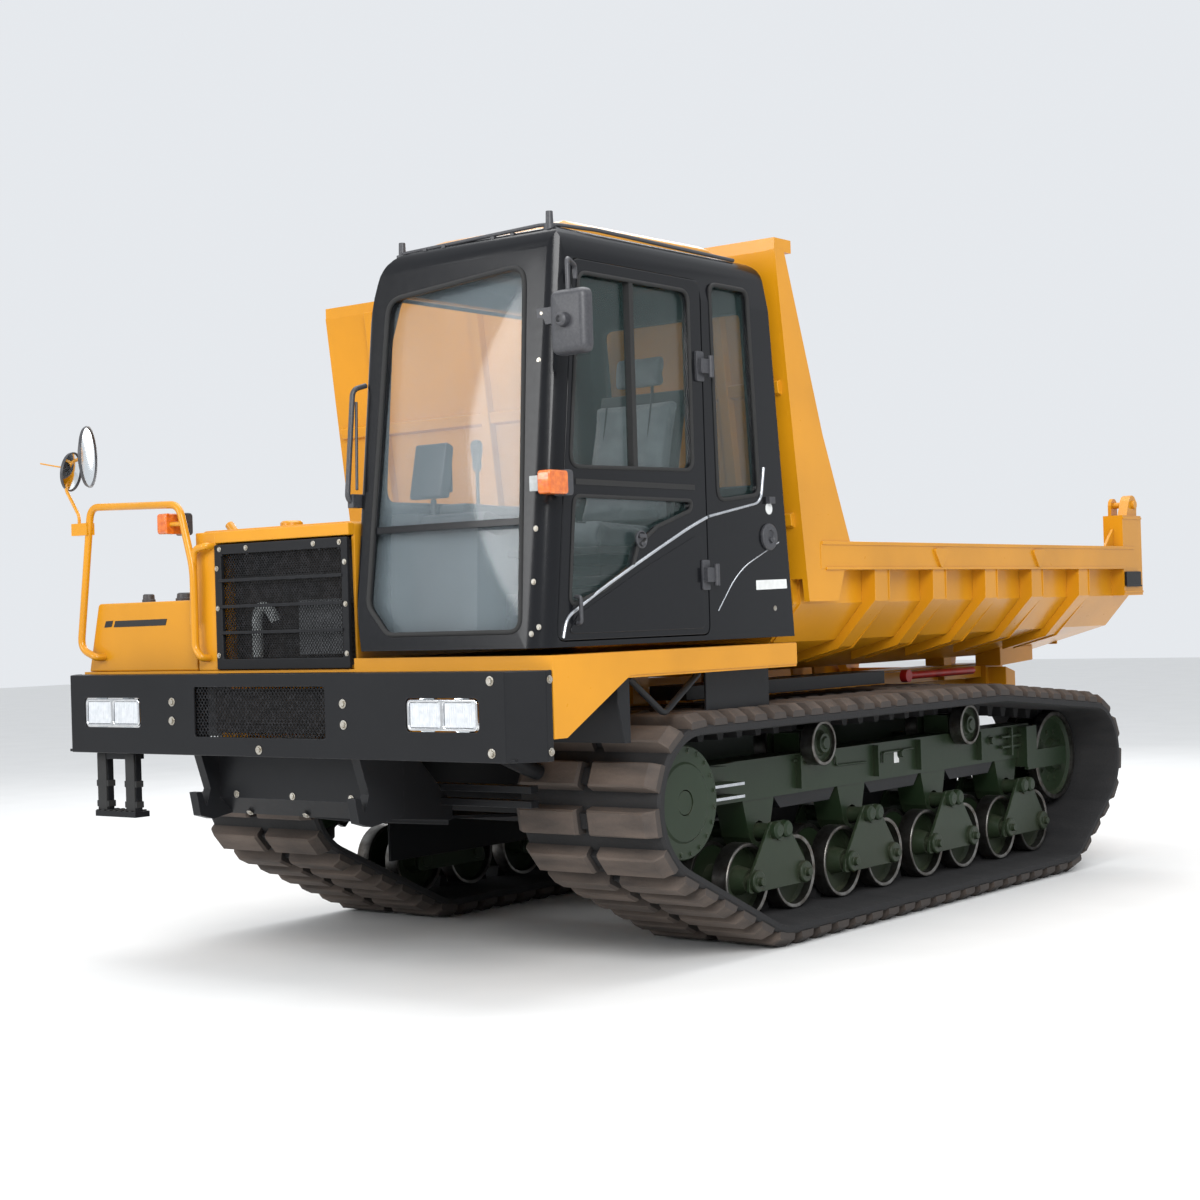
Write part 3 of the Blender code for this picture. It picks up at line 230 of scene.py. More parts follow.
# %% Paint with dust and rubbed edges
def weathered(finish, dust, dust_colour=(0.30, 0.25, 0.19), worn=0.0, worn_colour=(0.6, 0.6, 0.6), low=0.0):
    """Colour and roughness of a painted finish; low adds dirt towards the ground."""
    geometry = finish.node("NewGeometry", output=1)
    patches = finish.noise(1.7, 4.0)
    specks = finish.noise(38.0, 2.0)
    colour = finish.mix(
        finish.between(patches, 0.35, 0.7), finish.colour,
        tuple(c * 0.82 for c in finish.colour[:3]))
    corners = finish.node("AmbientOcclusion", {"samples": 6}, {"Distance": 0.07}, 1)
    facing_up = finish.between(finish.part(geometry, "z"), 0.2, 0.95)
    cover = facing_up * finish.between(specks + patches, 0.75, 1.25) + (1 - corners) * 0.9
    if low:
        height = finish.part(finish.where(), "z")
        cover = cover + finish.between(height, low, 0.0) * finish.between(patches, 0.3, 0.7)
    cover = finish.node("Clamp", {}, {0: cover * dust})
    colour = finish.mix(cover, colour, dust_colour)
    if worn:
        round_normal = finish.node("Bevel", {"samples": 4}, {"Radius": 0.006})
        same = finish.node("VectorMath", {"operation": "DOT_PRODUCT"}, {0: round_normal, 1: geometry}, 1)
        rubbed = finish.between(same, 0.985, 0.90) * finish.between(specks, 0.45, 0.6) * worn
        colour = finish.mix(rubbed, colour, worn_colour)
    finish.colour_by(colour)
    finish.feed(finish.shader, {
        "Roughness": finish.node("Clamp", {},
                                 {0: cover * 0.45 + (specks * 0.10 + (finish.roughness - 0.05))})})
    finish.relief(finish.noise(260.0, 1.0) * 0.5 + specks * 0.5, 0.0006, 0.35)
    return finish


yellow = weathered(Finish("yellow_paint", "yellow_paint", (0.61, 0.258, 0.006), 0.30, Coat_Weight=0.15,
                          Coat_Roughness=0.12, Specular_IOR_Level=0.35), 0.10, (0.40, 0.26, 0.10), worn=0.25,
                   worn_colour=(0.80, 0.42, 0.06))
cab_black = weathered(Finish("cab_black", "black_paint", (0.006, 0.0065, 0.008), 0.20, Coat_Weight=0.10,
                             Coat_Roughness=0.05, Specular_IOR_Level=0.18), 0.05, (0.05, 0.05, 0.05))
satin_black = weathered(Finish("satin_black", "black_paint", (0.010, 0.0105, 0.012), 0.36,
                               Specular_IOR_Level=0.18),
                        0.09, (0.09, 0.085, 0.08), worn=0.25, worn_colour=(0.09, 0.09, 0.10))
olive = weathered(Finish("undercarriage_green", "undercarriage_paint", (0.014, 0.027, 0.012), 0.36,
                         Specular_IOR_Level=0.25), 0.20, (0.10, 0.085, 0.065), worn=0.4,
                  worn_colour=(0.10, 0.11, 0.09), low=0.55)
print("painted finishes:", [f.material.name for f in (yellow, cab_black, satin_black, olive)])

# %% [markdown]
# ## Rubber, glass, metal, plastic and cloth
# Rubber that runs through soil turns brown where it touches the ground and stays free of that dirt in the
# grooves; grooves and corners are also darkened as painted shade. Glass is thin here, so it is drawn as a
# tinted film that lets most light through and turns into a mirror at a shallow angle; a pale tint on it is
# a painted reflection of the sky. Metals differ mostly in roughness, and the seat's cloth is a fine
# woven check with its own bump.

# %% Rubber
def rubber(name, colour, dirt, amount):
    made = Finish(name, "track_rubber", colour, 0.82)
    geometry = made.node("NewGeometry", output=1)
    smears = made.noise(6.0, 6.0, (0.5, 2.0, 2.0))
    grain = made.noise(90.0, 3.0)
    corners = made.node("AmbientOcclusion", {"samples": 6}, {"Distance": 0.05}, 1)
    across = made.part(geometry, "x")
    cover = made.node("Clamp", {}, {0: made.between(smears, 0.25, 0.75) * corners * amount + grain * 0.15})
    cover = cover * (1 - across * across * 0.85)
    # In grooves and corners found by the AO node the colour drops to 0.35 of the rubber's own: painted shade.
    made.colour_by(made.mix(corners, tuple(c * 0.35 for c in colour), made.mix(cover, made.colour, dirt)))
    made.relief(grain + smears, 0.0025, 0.6)
    return made


tread = rubber("tread_rubber", (0.034, 0.028, 0.025), (0.135, 0.102, 0.082), 0.90)
# The carcass is set much darker than the tread: dark rubber, darkened further as painted shade on the belt's
# flanks and between the bars.
shaded_belt_rubber = rubber("belt_rubber", (0.007, 0.007, 0.008), (0.032, 0.030, 0.030), 0.40)
seal = rubber("seal_rubber", (0.012, 0.012, 0.012), (0.03, 0.03, 0.03), 0.3)
seal.slot = "black_paint"
print("rubbers:", tread.material.name, shaded_belt_rubber.material.name, seal.material.name)

# %% [markdown]
# ## Glass
# A window could be a solid of refracting glass, but thin panes seen from far off need only three things:
# a tint, a faint haze and a mirror at a shallow angle. So each pane is a film whose alpha rises as the
# surface turns away from the eye. A pale tint on the film is a painted reflection of the sky; the
# windshield's film is more opaque than the other panes' to paint more of it, and the door and quarter panes
# take a dark, shaded copy as painted shade.

# %% Glass
def pane_of(name, tint, clear):
    """A thin pane: mostly clear face on, a mirror at a shallow angle, with a little dust."""
    made = Finish(name, "cab_glass", tint, 0.04, IOR=1.5, Specular_IOR_Level=0.9, Coat_Weight=0.6,
                  Coat_Roughness=0.02)
    slant = made.node("LayerWeight", {}, {"Blend": 0.5}, 1)
    mirror = slant * slant * slant
    haze = made.between(made.noise(3.0, 4.0, (1.0, 1.0, 0.4)), 0.35, 0.75)
    made.feed(made.shader, {"Alpha": made.node("Clamp", {}, {0: mirror * 0.5 + haze * 0.03 + clear})})
    made.colour_by(made.mix(haze, made.colour, tuple(min(1.0, c * 1.25) for c in tint)))
    return made


# The pale tints of these copies paint the sky's reflection and the dark copy paints shade; their haze noise
# is dust.
glass = pane_of("cab_glass", (0.40, 0.47, 0.49), 0.06)
hazed_painted_sky_glass = pane_of("windshield_glass", (0.26, 0.32, 0.35), 0.17)
dark_glass = pane_of("shaded_glass", (0.030, 0.055, 0.053), 0.18)
print("panes:", glass.material.name, hazed_painted_sky_glass.material.name, dark_glass.material.name)

# %% [markdown]
# ## Metals and plastics
# Plated, zinc and rubbed steel are all metal, and what tells them apart is how rough they are and how much
# a second tone shows. Moulded plastic has a fine grain instead. One function makes them all, since only
# the values differ: two tones, a roughness, and the size and height of the grain.

# %% Metals and plastics
def speckled(name, slot, colour, roughness, second, scale, height=0.0003, **constants):
    """A finish with a second tone, uneven gloss and a fine relief."""
    made = Finish(name, slot, colour, roughness, **constants)
    spots = made.noise(scale, 4.0)
    made.colour_by(made.mix(made.between(spots, 0.35, 0.7), made.colour, second))
    made.feed(made.shader, {"Roughness": spots * 0.16 + (roughness - 0.08)})
    made.relief(made.noise(scale * 6, 2.0), height, 0.5)
    return made


chrome = speckled("chrome", "chrome_rod", (0.78, 0.79, 0.80), 0.12, (0.62, 0.63, 0.64), 30.0, Metallic=1.0)
bright = speckled("rubbed_steel", "chrome_rod", (0.20, 0.195, 0.185), 0.42, (0.09, 0.08, 0.07), 22.0,
                  Metallic=1.0)
bolt_metal = speckled("bolt_zinc", "chrome_rod", (0.55, 0.53, 0.48), 0.35, (0.34, 0.30, 0.24), 60.0,
                      Metallic=1.0)
mirror_glass = speckled("mirror_glass", "chrome_rod", (0.80, 0.84, 0.86), 0.08, (0.74, 0.78, 0.80), 8.0,
                        Metallic=1.0)
housing = speckled("moulded_black", "mirror_housing", (0.030, 0.031, 0.036), 0.45, (0.050, 0.050, 0.055),
                   120.0)
trim_grey = speckled("cab_plastic", "cab_plastic", (0.075, 0.080, 0.085), 0.55, (0.11, 0.115, 0.12), 160.0)
pale_grey = speckled("pale_plastic", "cab_plastic", (0.40, 0.42, 0.42), 0.5, (0.32, 0.34, 0.34), 90.0)
silver = speckled("silver_trim", "chrome_rod", (0.55, 0.57, 0.60), 0.28, (0.42, 0.44, 0.47), 25.0,
                  Metallic=0.8)
amber = speckled("amber_lens", "lamp_lens", (0.85, 0.20, 0.012), 0.14, (0.62, 0.11, 0.008), 55.0, 0.0010,
                 Coat_Weight=0.8, Transmission_Weight=0.25)
clear_lens = speckled("lamp_lens", "lamp_lens", (0.86, 0.89, 0.92), 0.10, (0.70, 0.73, 0.77), 45.0, 0.0012,
                      Coat_Weight=1.0, Transmission_Weight=0.35)
red_paint = speckled("prop_red", "yellow_paint", (0.42, 0.012, 0.010), 0.35, (0.28, 0.010, 0.010), 18.0)
white_mark = speckled("blank_label", "cab_plastic", (0.72, 0.73, 0.72), 0.4, (0.60, 0.61, 0.60), 25.0)
# Near-black cores for the radiator and the oil cooler: dark metal, darkened further as painted shade in the
# recesses behind the mesh.
shaded_core = speckled("old_core", "black_paint", (0.022, 0.015, 0.011), 0.75, (0.009, 0.009, 0.009), 5.0, 0.002)
print("metals and plastics made")

# %% [markdown]
# ## Cloth
# The seat cover is a woven check. A flat pattern could be wrapped round it, but two crossing waves follow
# the surface without seams and give the threads both as colour and as relief.

# %% Cloth
def woven(name, colour, second, threads=420.0):
    """Cloth: two crossing sets of threads, seen as colour and as relief."""
    made = Finish(name, "seat_fabric", colour, 0.92, Sheen_Weight=0.35)
    spot = made.where()
    warp = made.node("TexWave", {"bands_direction": "Z"}, {"Vector": spot, "Scale": threads / 6.3})
    weft = made.node("TexWave", {"bands_direction": "X"}, {"Vector": spot, "Scale": threads / 6.3})
    wear = made.noise(9.0, 4.0)
    made.colour_by(made.mix(made.between(wear, 0.35, 0.7), made.mix(warp * weft, made.colour, second),
                            tuple(c * 0.75 for c in colour)))
    made.relief(warp + weft, 0.0012, 0.7)
    return made


cloth = woven("seat_cloth", (0.16, 0.19, 0.205), (0.30, 0.34, 0.355))
piping = woven("seat_side", (0.035, 0.038, 0.042), (0.07, 0.075, 0.08))
print("cloths:", cloth.material.name, piping.material.name)

# %% [markdown]
# ## Putting a piece together
# Most parts here are sheet, bar, tube and turned steel. `Piece` collects such solids as plain lists of
# points and faces, which is quick and exact, and `done` turns them into one mesh that rides on a body.
# A small bevel goes on every edge, because no pressed or cut edge is knife sharp and the thin highlight
# along it is what makes painted steel look like steel.

# %% Outlines
def rounded(corners, radius, steps=5):
    """A closed outline with its corners rounded; a corner may carry its own radius third."""
    outline = []
    for n, corner in enumerate(corners):
        here = Vector(corner[:2])
        reach = corner[2] if len(corner) > 2 else radius
        before, after = (Vector(corners[m][:2]) - here for m in (n - 1, (n + 1) % len(corners)))
        half = before.angle(after) / 2
        back = min(reach / math.tan(half), before.length * 0.49, after.length * 0.49)
        start, end = here + before.normalized() * back, here + after.normalized() * back
        if half > math.radians(88) or reach == 0:
            outline.append(tuple(here))
            continue
        for step in range(steps + 1):
            t = step / steps
            outline.append(tuple(start * (1 - t) ** 2 + here * (2 * t * (1 - t)) + end * t ** 2))
    return outline


def oblong(first, second, radius, steps=5):
    """A rounded rectangle between two values of each coordinate."""
    (a, b), (c, d) = first, second
    return rounded([(a, c), (b, c), (b, d), (a, d)], radius, steps)


def shifted(outline, distance):
    """The outline moved outwards by a distance, or inwards by a negative one."""
    area = sum(a[0] * b[1] - b[0] * a[1] for a, b in zip(outline, outline[1:] + outline[:1]))
    turn = 1 if area > 0 else -1
    moved = []
    for n, here in enumerate(outline):
        before, after = Vector(outline[n - 1]), Vector(outline[(n + 1) % len(outline)])
        along = (after - before).normalized()
        moved.append((here[0] + along.y * distance * turn, here[1] - along.x * distance * turn))
    return moved


print("a rounded square has", len(oblong((0, 1), (0, 1), 0.1)), "points")

# %% [markdown]
# ## Shapes to build with
# A folded plate, a bar, a turned wheel and a bent tube are all rows of rings with a skin over them. They
# could be made by Blender's own operators, but lists of points are exact, quick, and don't depend on what
# is selected.

# %% Solids as lists of points
class Solids:
    """Closed solids collected as points and faces."""

    def __init__(self):
        self.points, self.faces, self.slots, self.slot = [], [], [], 0

    def use(self, slot):
        self.slot = slot
        return self

    def loops(self, rings, closed=False):
        """Skin a row of rings, with caps unless the row closes on itself."""
        base, size, count = len(self.points), len(rings[0]), len(rings)
        self.points += [tuple(point) for ring in rings for point in ring]
        made = []
        for n in range(count if closed else count - 1):
            a, b = base + n * size, base + (n + 1) % count * size
            made += [(a + k, a + (k + 1) % size, b + (k + 1) % size, b + k) for k in range(size)]
        if not closed:
            made += [tuple(range(base + size - 1, base - 1, -1)), tuple(range(base + (count - 1) * size,
                                                                             base + count * size))]
        self.faces += made
        self.slots += [self.slot] * len(made)
        return self

    def slab(self, outline, low, high, axis="x"):
        """A flat outline given thickness along an axis; it is (station, z), (x, z) or (x, station)."""
        spot = {"x": lambda a, b, c: place(c, a, b), "y": lambda a, b, c: place(a, c, b),
                "z": lambda a, b, c: place(a, b, c)}[axis]
        return self.loops([[spot(a, b, c) for a, b in outline] for c in (low, high)])

    def block(self, x, station, z):
        return self.slab([(x[0], z[0]), (x[1], z[0]), (x[1], z[1]), (x[0], z[1])], *station, axis="y")

    def bar(self, start, end, radius, sides=20, taper=1.0):
        start, end = place(*start), place(*end)
        turn = (end - start).to_track_quat("Z", "Y")
        circle = [Vector((math.cos(a), math.sin(a), 0)) for a in
                  (2 * math.pi * (n + 0.5) / sides for n in range(sides))]
        return self.loops([[at + turn @ (c * radius * share) for c in circle]
                           for at, share in ((start, 1.0), (end, taper))])

    def lathe(self, profile, centre, toward=(1, 0, 0), steps=40):
        """Turn a closed profile of (along, radius) about a line through the centre."""
        centre, turn = place(*centre), Vector(toward).to_track_quat("Z", "Y")
        rings = []
        for n in range(steps):
            a = 2 * math.pi * n / steps
            rings.append([centre + turn @ Vector((r * math.cos(a), r * math.sin(a), along))
                          for along, r in profile])
        return self.loops(rings, closed=True)

    def bolt(self, centre, toward, radius=0.014, height=0.010):
        """Hexagon head on a washer."""
        start, way = Vector(centre), Vector(toward).normalized()
        self.bar(start, start + way * 0.003, radius * 1.45, 16)
        return self.bar(start, start + way * height, radius, 6)

    def tube(self, points, radius, bend=0.05, sides=12, closed=False, steps=6):
        """Round bar bent through points with smooth corners."""
        path = []
        count = len(points)
        for n, point in enumerate(points):
            here = place(*point)
            if not closed and n in (0, count - 1):
                path.append(here)
                continue
            before, after = (place(*points[m % count]) - here for m in (n - 1, n + 1))
            back = min(bend, before.length * 0.48, after.length * 0.48)
            start, end = here + before.normalized() * back, here + after.normalized() * back
            path += [start * (1 - t) ** 2 + here * (2 * t * (1 - t)) + end * t ** 2
                     for t in (s / steps for s in range(steps + 1))]
        rings, up = [], None
        for n, here in enumerate(path):
            before = path[n - 1] if n or closed else here
            after = path[(n + 1) % len(path)] if n + 1 < len(path) or closed else here
            along = (after - before).normalized()
            if up is None:
                up = along.orthogonal().normalized()
            up = (up - along * up.dot(along)).normalized()
            side = along.cross(up)
            rings.append([here + (up * math.cos(a) + side * math.sin(a)) * radius for a in
                          (2 * math.pi * k / sides for k in range(sides))])
        return self.loops(rings, closed)


print("shapes ready:", [name for name in vars(Solids) if name[0] != "_"])

# %% [markdown]
# ## From solids to an object
# Everything that belongs to one made part goes into one mesh, so a maker's part is one piece with one
# name. It takes its finishes, is cut, gets its edges, and is told which moving body carries it.

# %% From solids to an object
class Piece(Solids):
    """Solids that become one object."""

    def mesh(self, name):
        made = bpy.data.meshes.new(name)
        made.from_pydata(self.points, [], self.faces)
        made.polygons.foreach_set("material_index", self.slots)
        shape = bmesh.new()
        shape.from_mesh(made)
        bmesh.ops.recalc_face_normals(shape, faces=shape.faces)
        shape.to_mesh(made)
        shape.free()
        return made

    def done(self, name, finishes, body="root", bevel=0.0, sides=2, instead=(), cutters=(), smooth=35):
        """Make the object, cut it, bevel it and let it ride on a body, if one is named."""
        finishes = finishes if isinstance(finishes, (list, tuple)) else [finishes]
        made = bpy.data.objects.new(name, self.mesh(name))
        bpy.context.scene.collection.objects.link(made)
        for finish in finishes:
            made.data.materials.append(finish.material)
        carve(made, cutters)
        polish(made, bevel, sides, smooth)
        if body:
            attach(made, body)
        if instead:
            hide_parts(*instead)
        return made


print("a piece can be made and ridden on a body")

# %% [markdown]
# ## Edges and cuts
# An edge could be drawn rounded in every outline, at the price of many points. A bevel modifier finds the
# sharp edges by their angle and rounds them all alike. Windows are cut with an exact boolean, because the
# fast one leaves gaps where faces lie in one plane.

# %% Edges and cuts
def polish(made, bevel, sides=2, smooth=35):
    """Smooth shading between sharp edges, and a bevel along them."""
    made.data.shade_smooth()
    made.data.set_sharp_from_angle(angle=math.radians(smooth))
    if bevel:
        edge = made.modifiers.new("edges", "BEVEL")
        edge.width, edge.segments = bevel, sides
        edge.limit_method, edge.angle_limit = "ANGLE", math.radians(smooth)
        edge.harden_normals = True


def carve(made, cutters, operation="DIFFERENCE"):
    """Take each cutter's shape out of an object, or keep only what they share."""
    for cutter in cutters:
        tool = bpy.data.objects.new("tool", cutter.mesh("tool"))
        bpy.context.scene.collection.objects.link(tool)
        step = made.modifiers.new("cut", "BOOLEAN")
        step.operation, step.object, step.solver = operation, tool, "EXACT"
        bpy.context.view_layer.update()
        shape = bpy.data.meshes.new_from_object(made.evaluated_get(bpy.context.evaluated_depsgraph_get()))
        made.modifiers.remove(step)
        made.data = shape
        bpy.data.objects.remove(tool, do_unlink=True)


print("edges are bevelled between smooth faces, and cuts are exact")

# %% [markdown]
# ## Finishes for the CAD nodes
# Where a CAD node already has the right shape, it stays and takes a finish. Its flat triangles are
# first merged with a planar decimate, so that the bevel runs along real edges only.

# %% Dress the CAD nodes
DRESS = {
    yellow: ["main_frame", "dump_body", "tailgate"],
    satin_black: ["belly_guard", "boarding_step", "hoist_barrel"],
    olive: ["undercarriage_frame"],
    housing: ["control_console", "travel_lever"],
    chrome: ["hoist_rod"],
    glass: ["side_glass", "door_glass"],
    hazed_painted_sky_glass: ["windshield"],
}
for finish, names in DRESS.items():
    for name in names:
        node = nodes[name]
        for slot in node.material_slots:
            slot.material = finish.material
        if finish.slot != "cab_glass":
            flat = node.modifiers.new("merge", "DECIMATE")
            flat.decimate_type, flat.angle_limit = "DISSOLVE", math.radians(1.0)
        polish(node, 0.0 if finish.slot == "cab_glass" else 0.004)
print("dressed", sum(len(names) for names in DRESS.values()), "nodes")

# %% [markdown]
# ## Floor and light
# A studio floor is a pale, matt sheet that reflects a little of the machine's colour. Four large soft lamps
# and an even sky are used in place of a sun, so that no hard shadow hides the undercarriage. The floor
# is stage dressing and is not part of the model.

# %% Floor and light
stone = Finish("studio_floor", "", (0.80, 0.80, 0.79), 0.85)
grain = stone.noise(2.0, 5.0)
stone.colour_by(stone.mix(stone.between(grain, 0.3, 0.7), stone.colour, (0.77, 0.77, 0.76)))
floor = bpy.data.objects.new("floor", bpy.data.meshes.new("floor"))
floor.data.from_pydata([(-40, -40, 0), (40, -40, 0), (40, 40, 0), (-40, 40, 0)], [], [(0, 1, 2, 3)])
floor.data.materials.append(stone.material)
bpy.context.scene.collection.objects.link(floor)
floor.location.z = -0.002

sky = bpy.data.worlds.new("studio")
sky.use_nodes = True
sky.node_tree.nodes["Background"].inputs["Color"].default_value = (0.93, 0.96, 1.0, 1.0)
sky.node_tree.nodes["Background"].inputs["Strength"].default_value = 0.85
bpy.context.scene.world = sky
bpy.context.scene.view_settings.view_transform = "Standard"
for name, spot, size, power in (
        ("key", (7.5, -5.5, 6.5), 5.0, 900), ("front", (-4.5, -9.0, 5.0), 5.0, 420),
        ("top", (0.0, 2.5, 8.0), 7.0, 420), ("back", (-5.0, 10.0, 5.0), 5.0, 300)):
    light = bpy.data.lights.new(name, "AREA")
    light.shape, light.size, light.energy = "DISK", size, power
    lamp = bpy.data.objects.new(name, light)
    bpy.context.scene.collection.objects.link(lamp)
    lamp.location = place(*spot)
    lamp.rotation_euler = (place(0, 2.5, 1.2) - lamp.location).to_track_quat("-Z", "Y").to_euler()
print("floor, sky and four soft lamps placed")

# %% [markdown]
# ## The belt's path
# A rubber belt is one loop round the sprocket, the idler, the road rollers below and the carrier rollers
# above. Its inner face is the outline of those circles pulled tight, so the path is made of arcs on the
# wheels and straights between them. Everything on the belt is then placed by a distance along it and
# a height above its inner face.

# %% Path of the belt
SIDES = {"left": 1, "right": -1}
BELT_HALF, TRACK_OUTSIDE = 0.365, 1.350
SHEET, LUG = 0.050, 0.055
roller_low = pivot("road_roller_left_1a_spin")
roller_last = pivot("road_roller_left_4b_spin")
idler_at, drive_at = pivot("idler_left_spin"), pivot("left_drive")
carrier_at = pivot("carrier_roller_left_2_spin")
ROLLER, IDLER, CARRIER, DRIVE = 0.168, 0.245, 0.105, 0.264
circles = [(roller_low[1:], ROLLER + 0.002), (roller_last[1:], ROLLER + 0.002), (idler_at[1:], IDLER + 0.006),
           (carrier_at[1:], CARRIER + 0.002), (drive_at[1:], DRIVE + 0.006)]


def tight_loop(circles):
    """Arcs and straights of the tight loop: (length, centre, radius, angle, is an arc)."""
    leave, runs = [], []
    for n, ((u, v), radius) in enumerate(circles):
        (u2, v2), radius2 = circles[(n + 1) % len(circles)]
        leave.append(math.atan2(v2 - v, u2 - u) - math.acos((radius - radius2) / math.hypot(u2 - u, v2 - v)))
    for n, ((u, v), radius) in enumerate(circles):
        (u2, v2), radius2 = circles[(n + 1) % len(circles)]
        runs.append(((leave[n] - leave[n - 1]) % (2 * math.pi) * radius, (u, v), radius, leave[n - 1], True))
        runs.append((math.sqrt((u2 - u) ** 2 + (v2 - v) ** 2 - (radius - radius2) ** 2),
                     (u, v), radius, leave[n], False))
    return runs


RUNS = tight_loop(circles)
BELT_LENGTH = sum(run[0] for run in RUNS)
LINKS = round(BELT_LENGTH / 0.150)
PITCH = BELT_LENGTH / LINKS


def on_belt(across, distance, height):
    distance %= BELT_LENGTH
    for length, (u, v), radius, angle, arc in RUNS:
        if distance <= length:
            break
        distance -= length
    along = 0.0 if arc else distance
    angle += distance / radius if arc else 0.0
    reach = radius + height
    return place(across, u + reach * math.cos(angle) - along * math.sin(angle),
                 v + reach * math.sin(angle) + along * math.cos(angle))


print("belt is", round(BELT_LENGTH, 3), "m round with", LINKS, "links of", round(PITCH * 1000, 1), "mm")

# %% [markdown]
# ## Belt and tread
# The belt is moulded in one: a carcass that is thick under the rollers and thin at its edges, tread bars
# across the outside with chamfered ends, and guide teeth inside that keep it on the wheels. The bars
# are separate closed solids set slightly into the carcass, since their section is the same on
# every link.

# %% Make both belts
def tread_bar(piece, middle, start, inner, outer):
    """One bar from an inner to an outer distance across, its ends cut at a slope."""
    length, flank = PITCH * 0.66, PITCH * 0.07
    rings = []
    for across, share in ((inner, 0.80), (inner + 0.012, 1.0), (outer - 0.045, 1.0), (outer - 0.004, 0.45)):
        top = SHEET + LUG * share
        rings.append([on_belt(middle + across, start + at, height) for at, height in (
            (0.0, SHEET - 0.004), (flank * share, top - 0.006), (flank * share + 0.006, top),
            (length - flank * share - 0.006, top), (length - flank * share, top - 0.006),
            (length, SHEET - 0.004))])
    piece.loops(rings)


for word, flip in SIDES.items():
    middle = flip * (TRACK_OUTSIDE - BELT_HALF)
    belt = Piece()
    section = [(-BELT_HALF, SHEET - 0.012), (-BELT_HALF + 0.012, SHEET), (BELT_HALF - 0.012, SHEET),
               (BELT_HALF, SHEET - 0.012), (BELT_HALF, 0.016), (BELT_HALF - 0.016, 0.010), (0.215, 0.010),
               (0.180, 0.001), (-0.180, 0.001), (-0.215, 0.010), (-BELT_HALF + 0.016, 0.010),
               (-BELT_HALF, 0.016)]
    cuts = LINKS * 4
    belt.use(1).loops([[on_belt(middle + across, n * BELT_LENGTH / cuts, height)
                        for across, height in section] for n in range(cuts)], closed=True)
    for link in range(LINKS):
        start = link * PITCH
        belt.use(0)
        tread_bar(belt, middle, start, 0.026, BELT_HALF)
        rings = len(belt.points)
        mirrored = [Vector((2 * middle - x, y, z)) for x, y, z in belt.points[rings - 24:rings]]
        belt.loops([mirrored[k:k + 6] for k in (18, 12, 6, 0)])
        belt.use(1).loops([[on_belt(middle + across, start + at, height) for at, height in (
            (PITCH * 0.14, SHEET - 0.002), (PITCH * 0.16, SHEET + 0.024), (PITCH * 0.50, SHEET + 0.024),
            (PITCH * 0.52, SHEET - 0.002))] for across in (-0.028, 0.028)])
        belt.loops([[on_belt(middle + across, start + at, height) for at, height in (
            (PITCH * 0.10, 0.004), (PITCH * 0.20, -0.050), (PITCH * 0.44, -0.050), (PITCH * 0.54, 0.004))]
            for across in (-0.040, 0.040)])
    made = belt.done(f"belt_{word}", [tread, shaded_belt_rubber], instead=[f"rubber_track_{word}"], smooth=25)
    print(made.name, "has", len(made.data.polygons), "faces")

# %% [markdown]
# ## Wheels of the undercarriage
# Rollers, idler and sprocket are turned or cast, so a lathe profile is the natural way: their dished
# faces, hubs and rims come out round and exact. Rims run on the belt and stay bright.

# %% Road rollers
def both_ways(profile):
    """The profile, and the same profile facing inwards."""
    return profile, [(-along, radius) for along, radius in profile]


for word, flip in SIDES.items():
    for number in range(1, 5):
        for end in "ab":
            name = f"road_roller_{word}_{number}{end}"
            centre = pivot(name + "_spin")
            wheel = Piece()
            for shape in both_ways([(0.060, 0.152), (0.060, 0.036), (0.146, 0.036), (0.146, 0.052),
                                    (0.118, 0.060), (0.080, 0.066), (0.074, 0.080), (0.080, 0.140),
                                    (0.100, 0.152)]):
                wheel.use(0).lathe(shape, centre, (flip, 0, 0))
            for shape in both_ways([(0.057, 0.150), (0.057, 0.166), (0.060, 0.168), (0.134, 0.168),
                                    (0.138, 0.165), (0.138, 0.158), (0.134, 0.150)]):
                wheel.use(1).lathe(shape, centre, (flip, 0, 0))
            wheel.use(0).lathe([(-0.060, 0.036), (-0.060, 0.066), (0.060, 0.066), (0.060, 0.036)], centre)
            wheel.done(name + "_turned", [olive, bright], name, instead=[name])
print("16 road rollers turned")

# %% [markdown]
# ## Carrier rollers
# The belt's upper run would sag on its own, so two small rollers carry it. They are the road roller's
# shape at a smaller scale, with a plain cap over the bearing, and the same lathe makes them.

# %% Carrier rollers
for word, flip in SIDES.items():
    for number in (1, 2):
        name = f"carrier_roller_{word}_{number}"
        centre = pivot(name + "_spin")
        wheel = Piece()
        for shape in both_ways([(0.098, 0.090), (0.098, 0.031), (0.168, 0.031), (0.168, 0.044),
                                (0.150, 0.048), (0.140, 0.062), (0.140, 0.086), (0.152, 0.092)]):
            wheel.use(0).lathe(shape, centre, (flip, 0, 0))
        for shape in both_ways([(0.097, 0.088), (0.097, 0.105), (0.162, 0.105), (0.165, 0.102),
                                (0.165, 0.090)]):
            wheel.use(1).lathe(shape, centre, (flip, 0, 0))
        wheel.use(0).lathe([(0.165, 0.001), (0.176, 0.001), (0.176, 0.024), (0.165, 0.030)], centre,
                           (flip, 0, 0))
        wheel.done(name + "_turned", [olive, bright], name, instead=[name])
print("4 carrier rollers turned")

# %% [markdown]
# ## Idlers
# The idler at the rear turns freely and keeps the belt tight. It is a dished casting with a ring of bolts
# round its web; the bolts are placed round the circle by a loop.

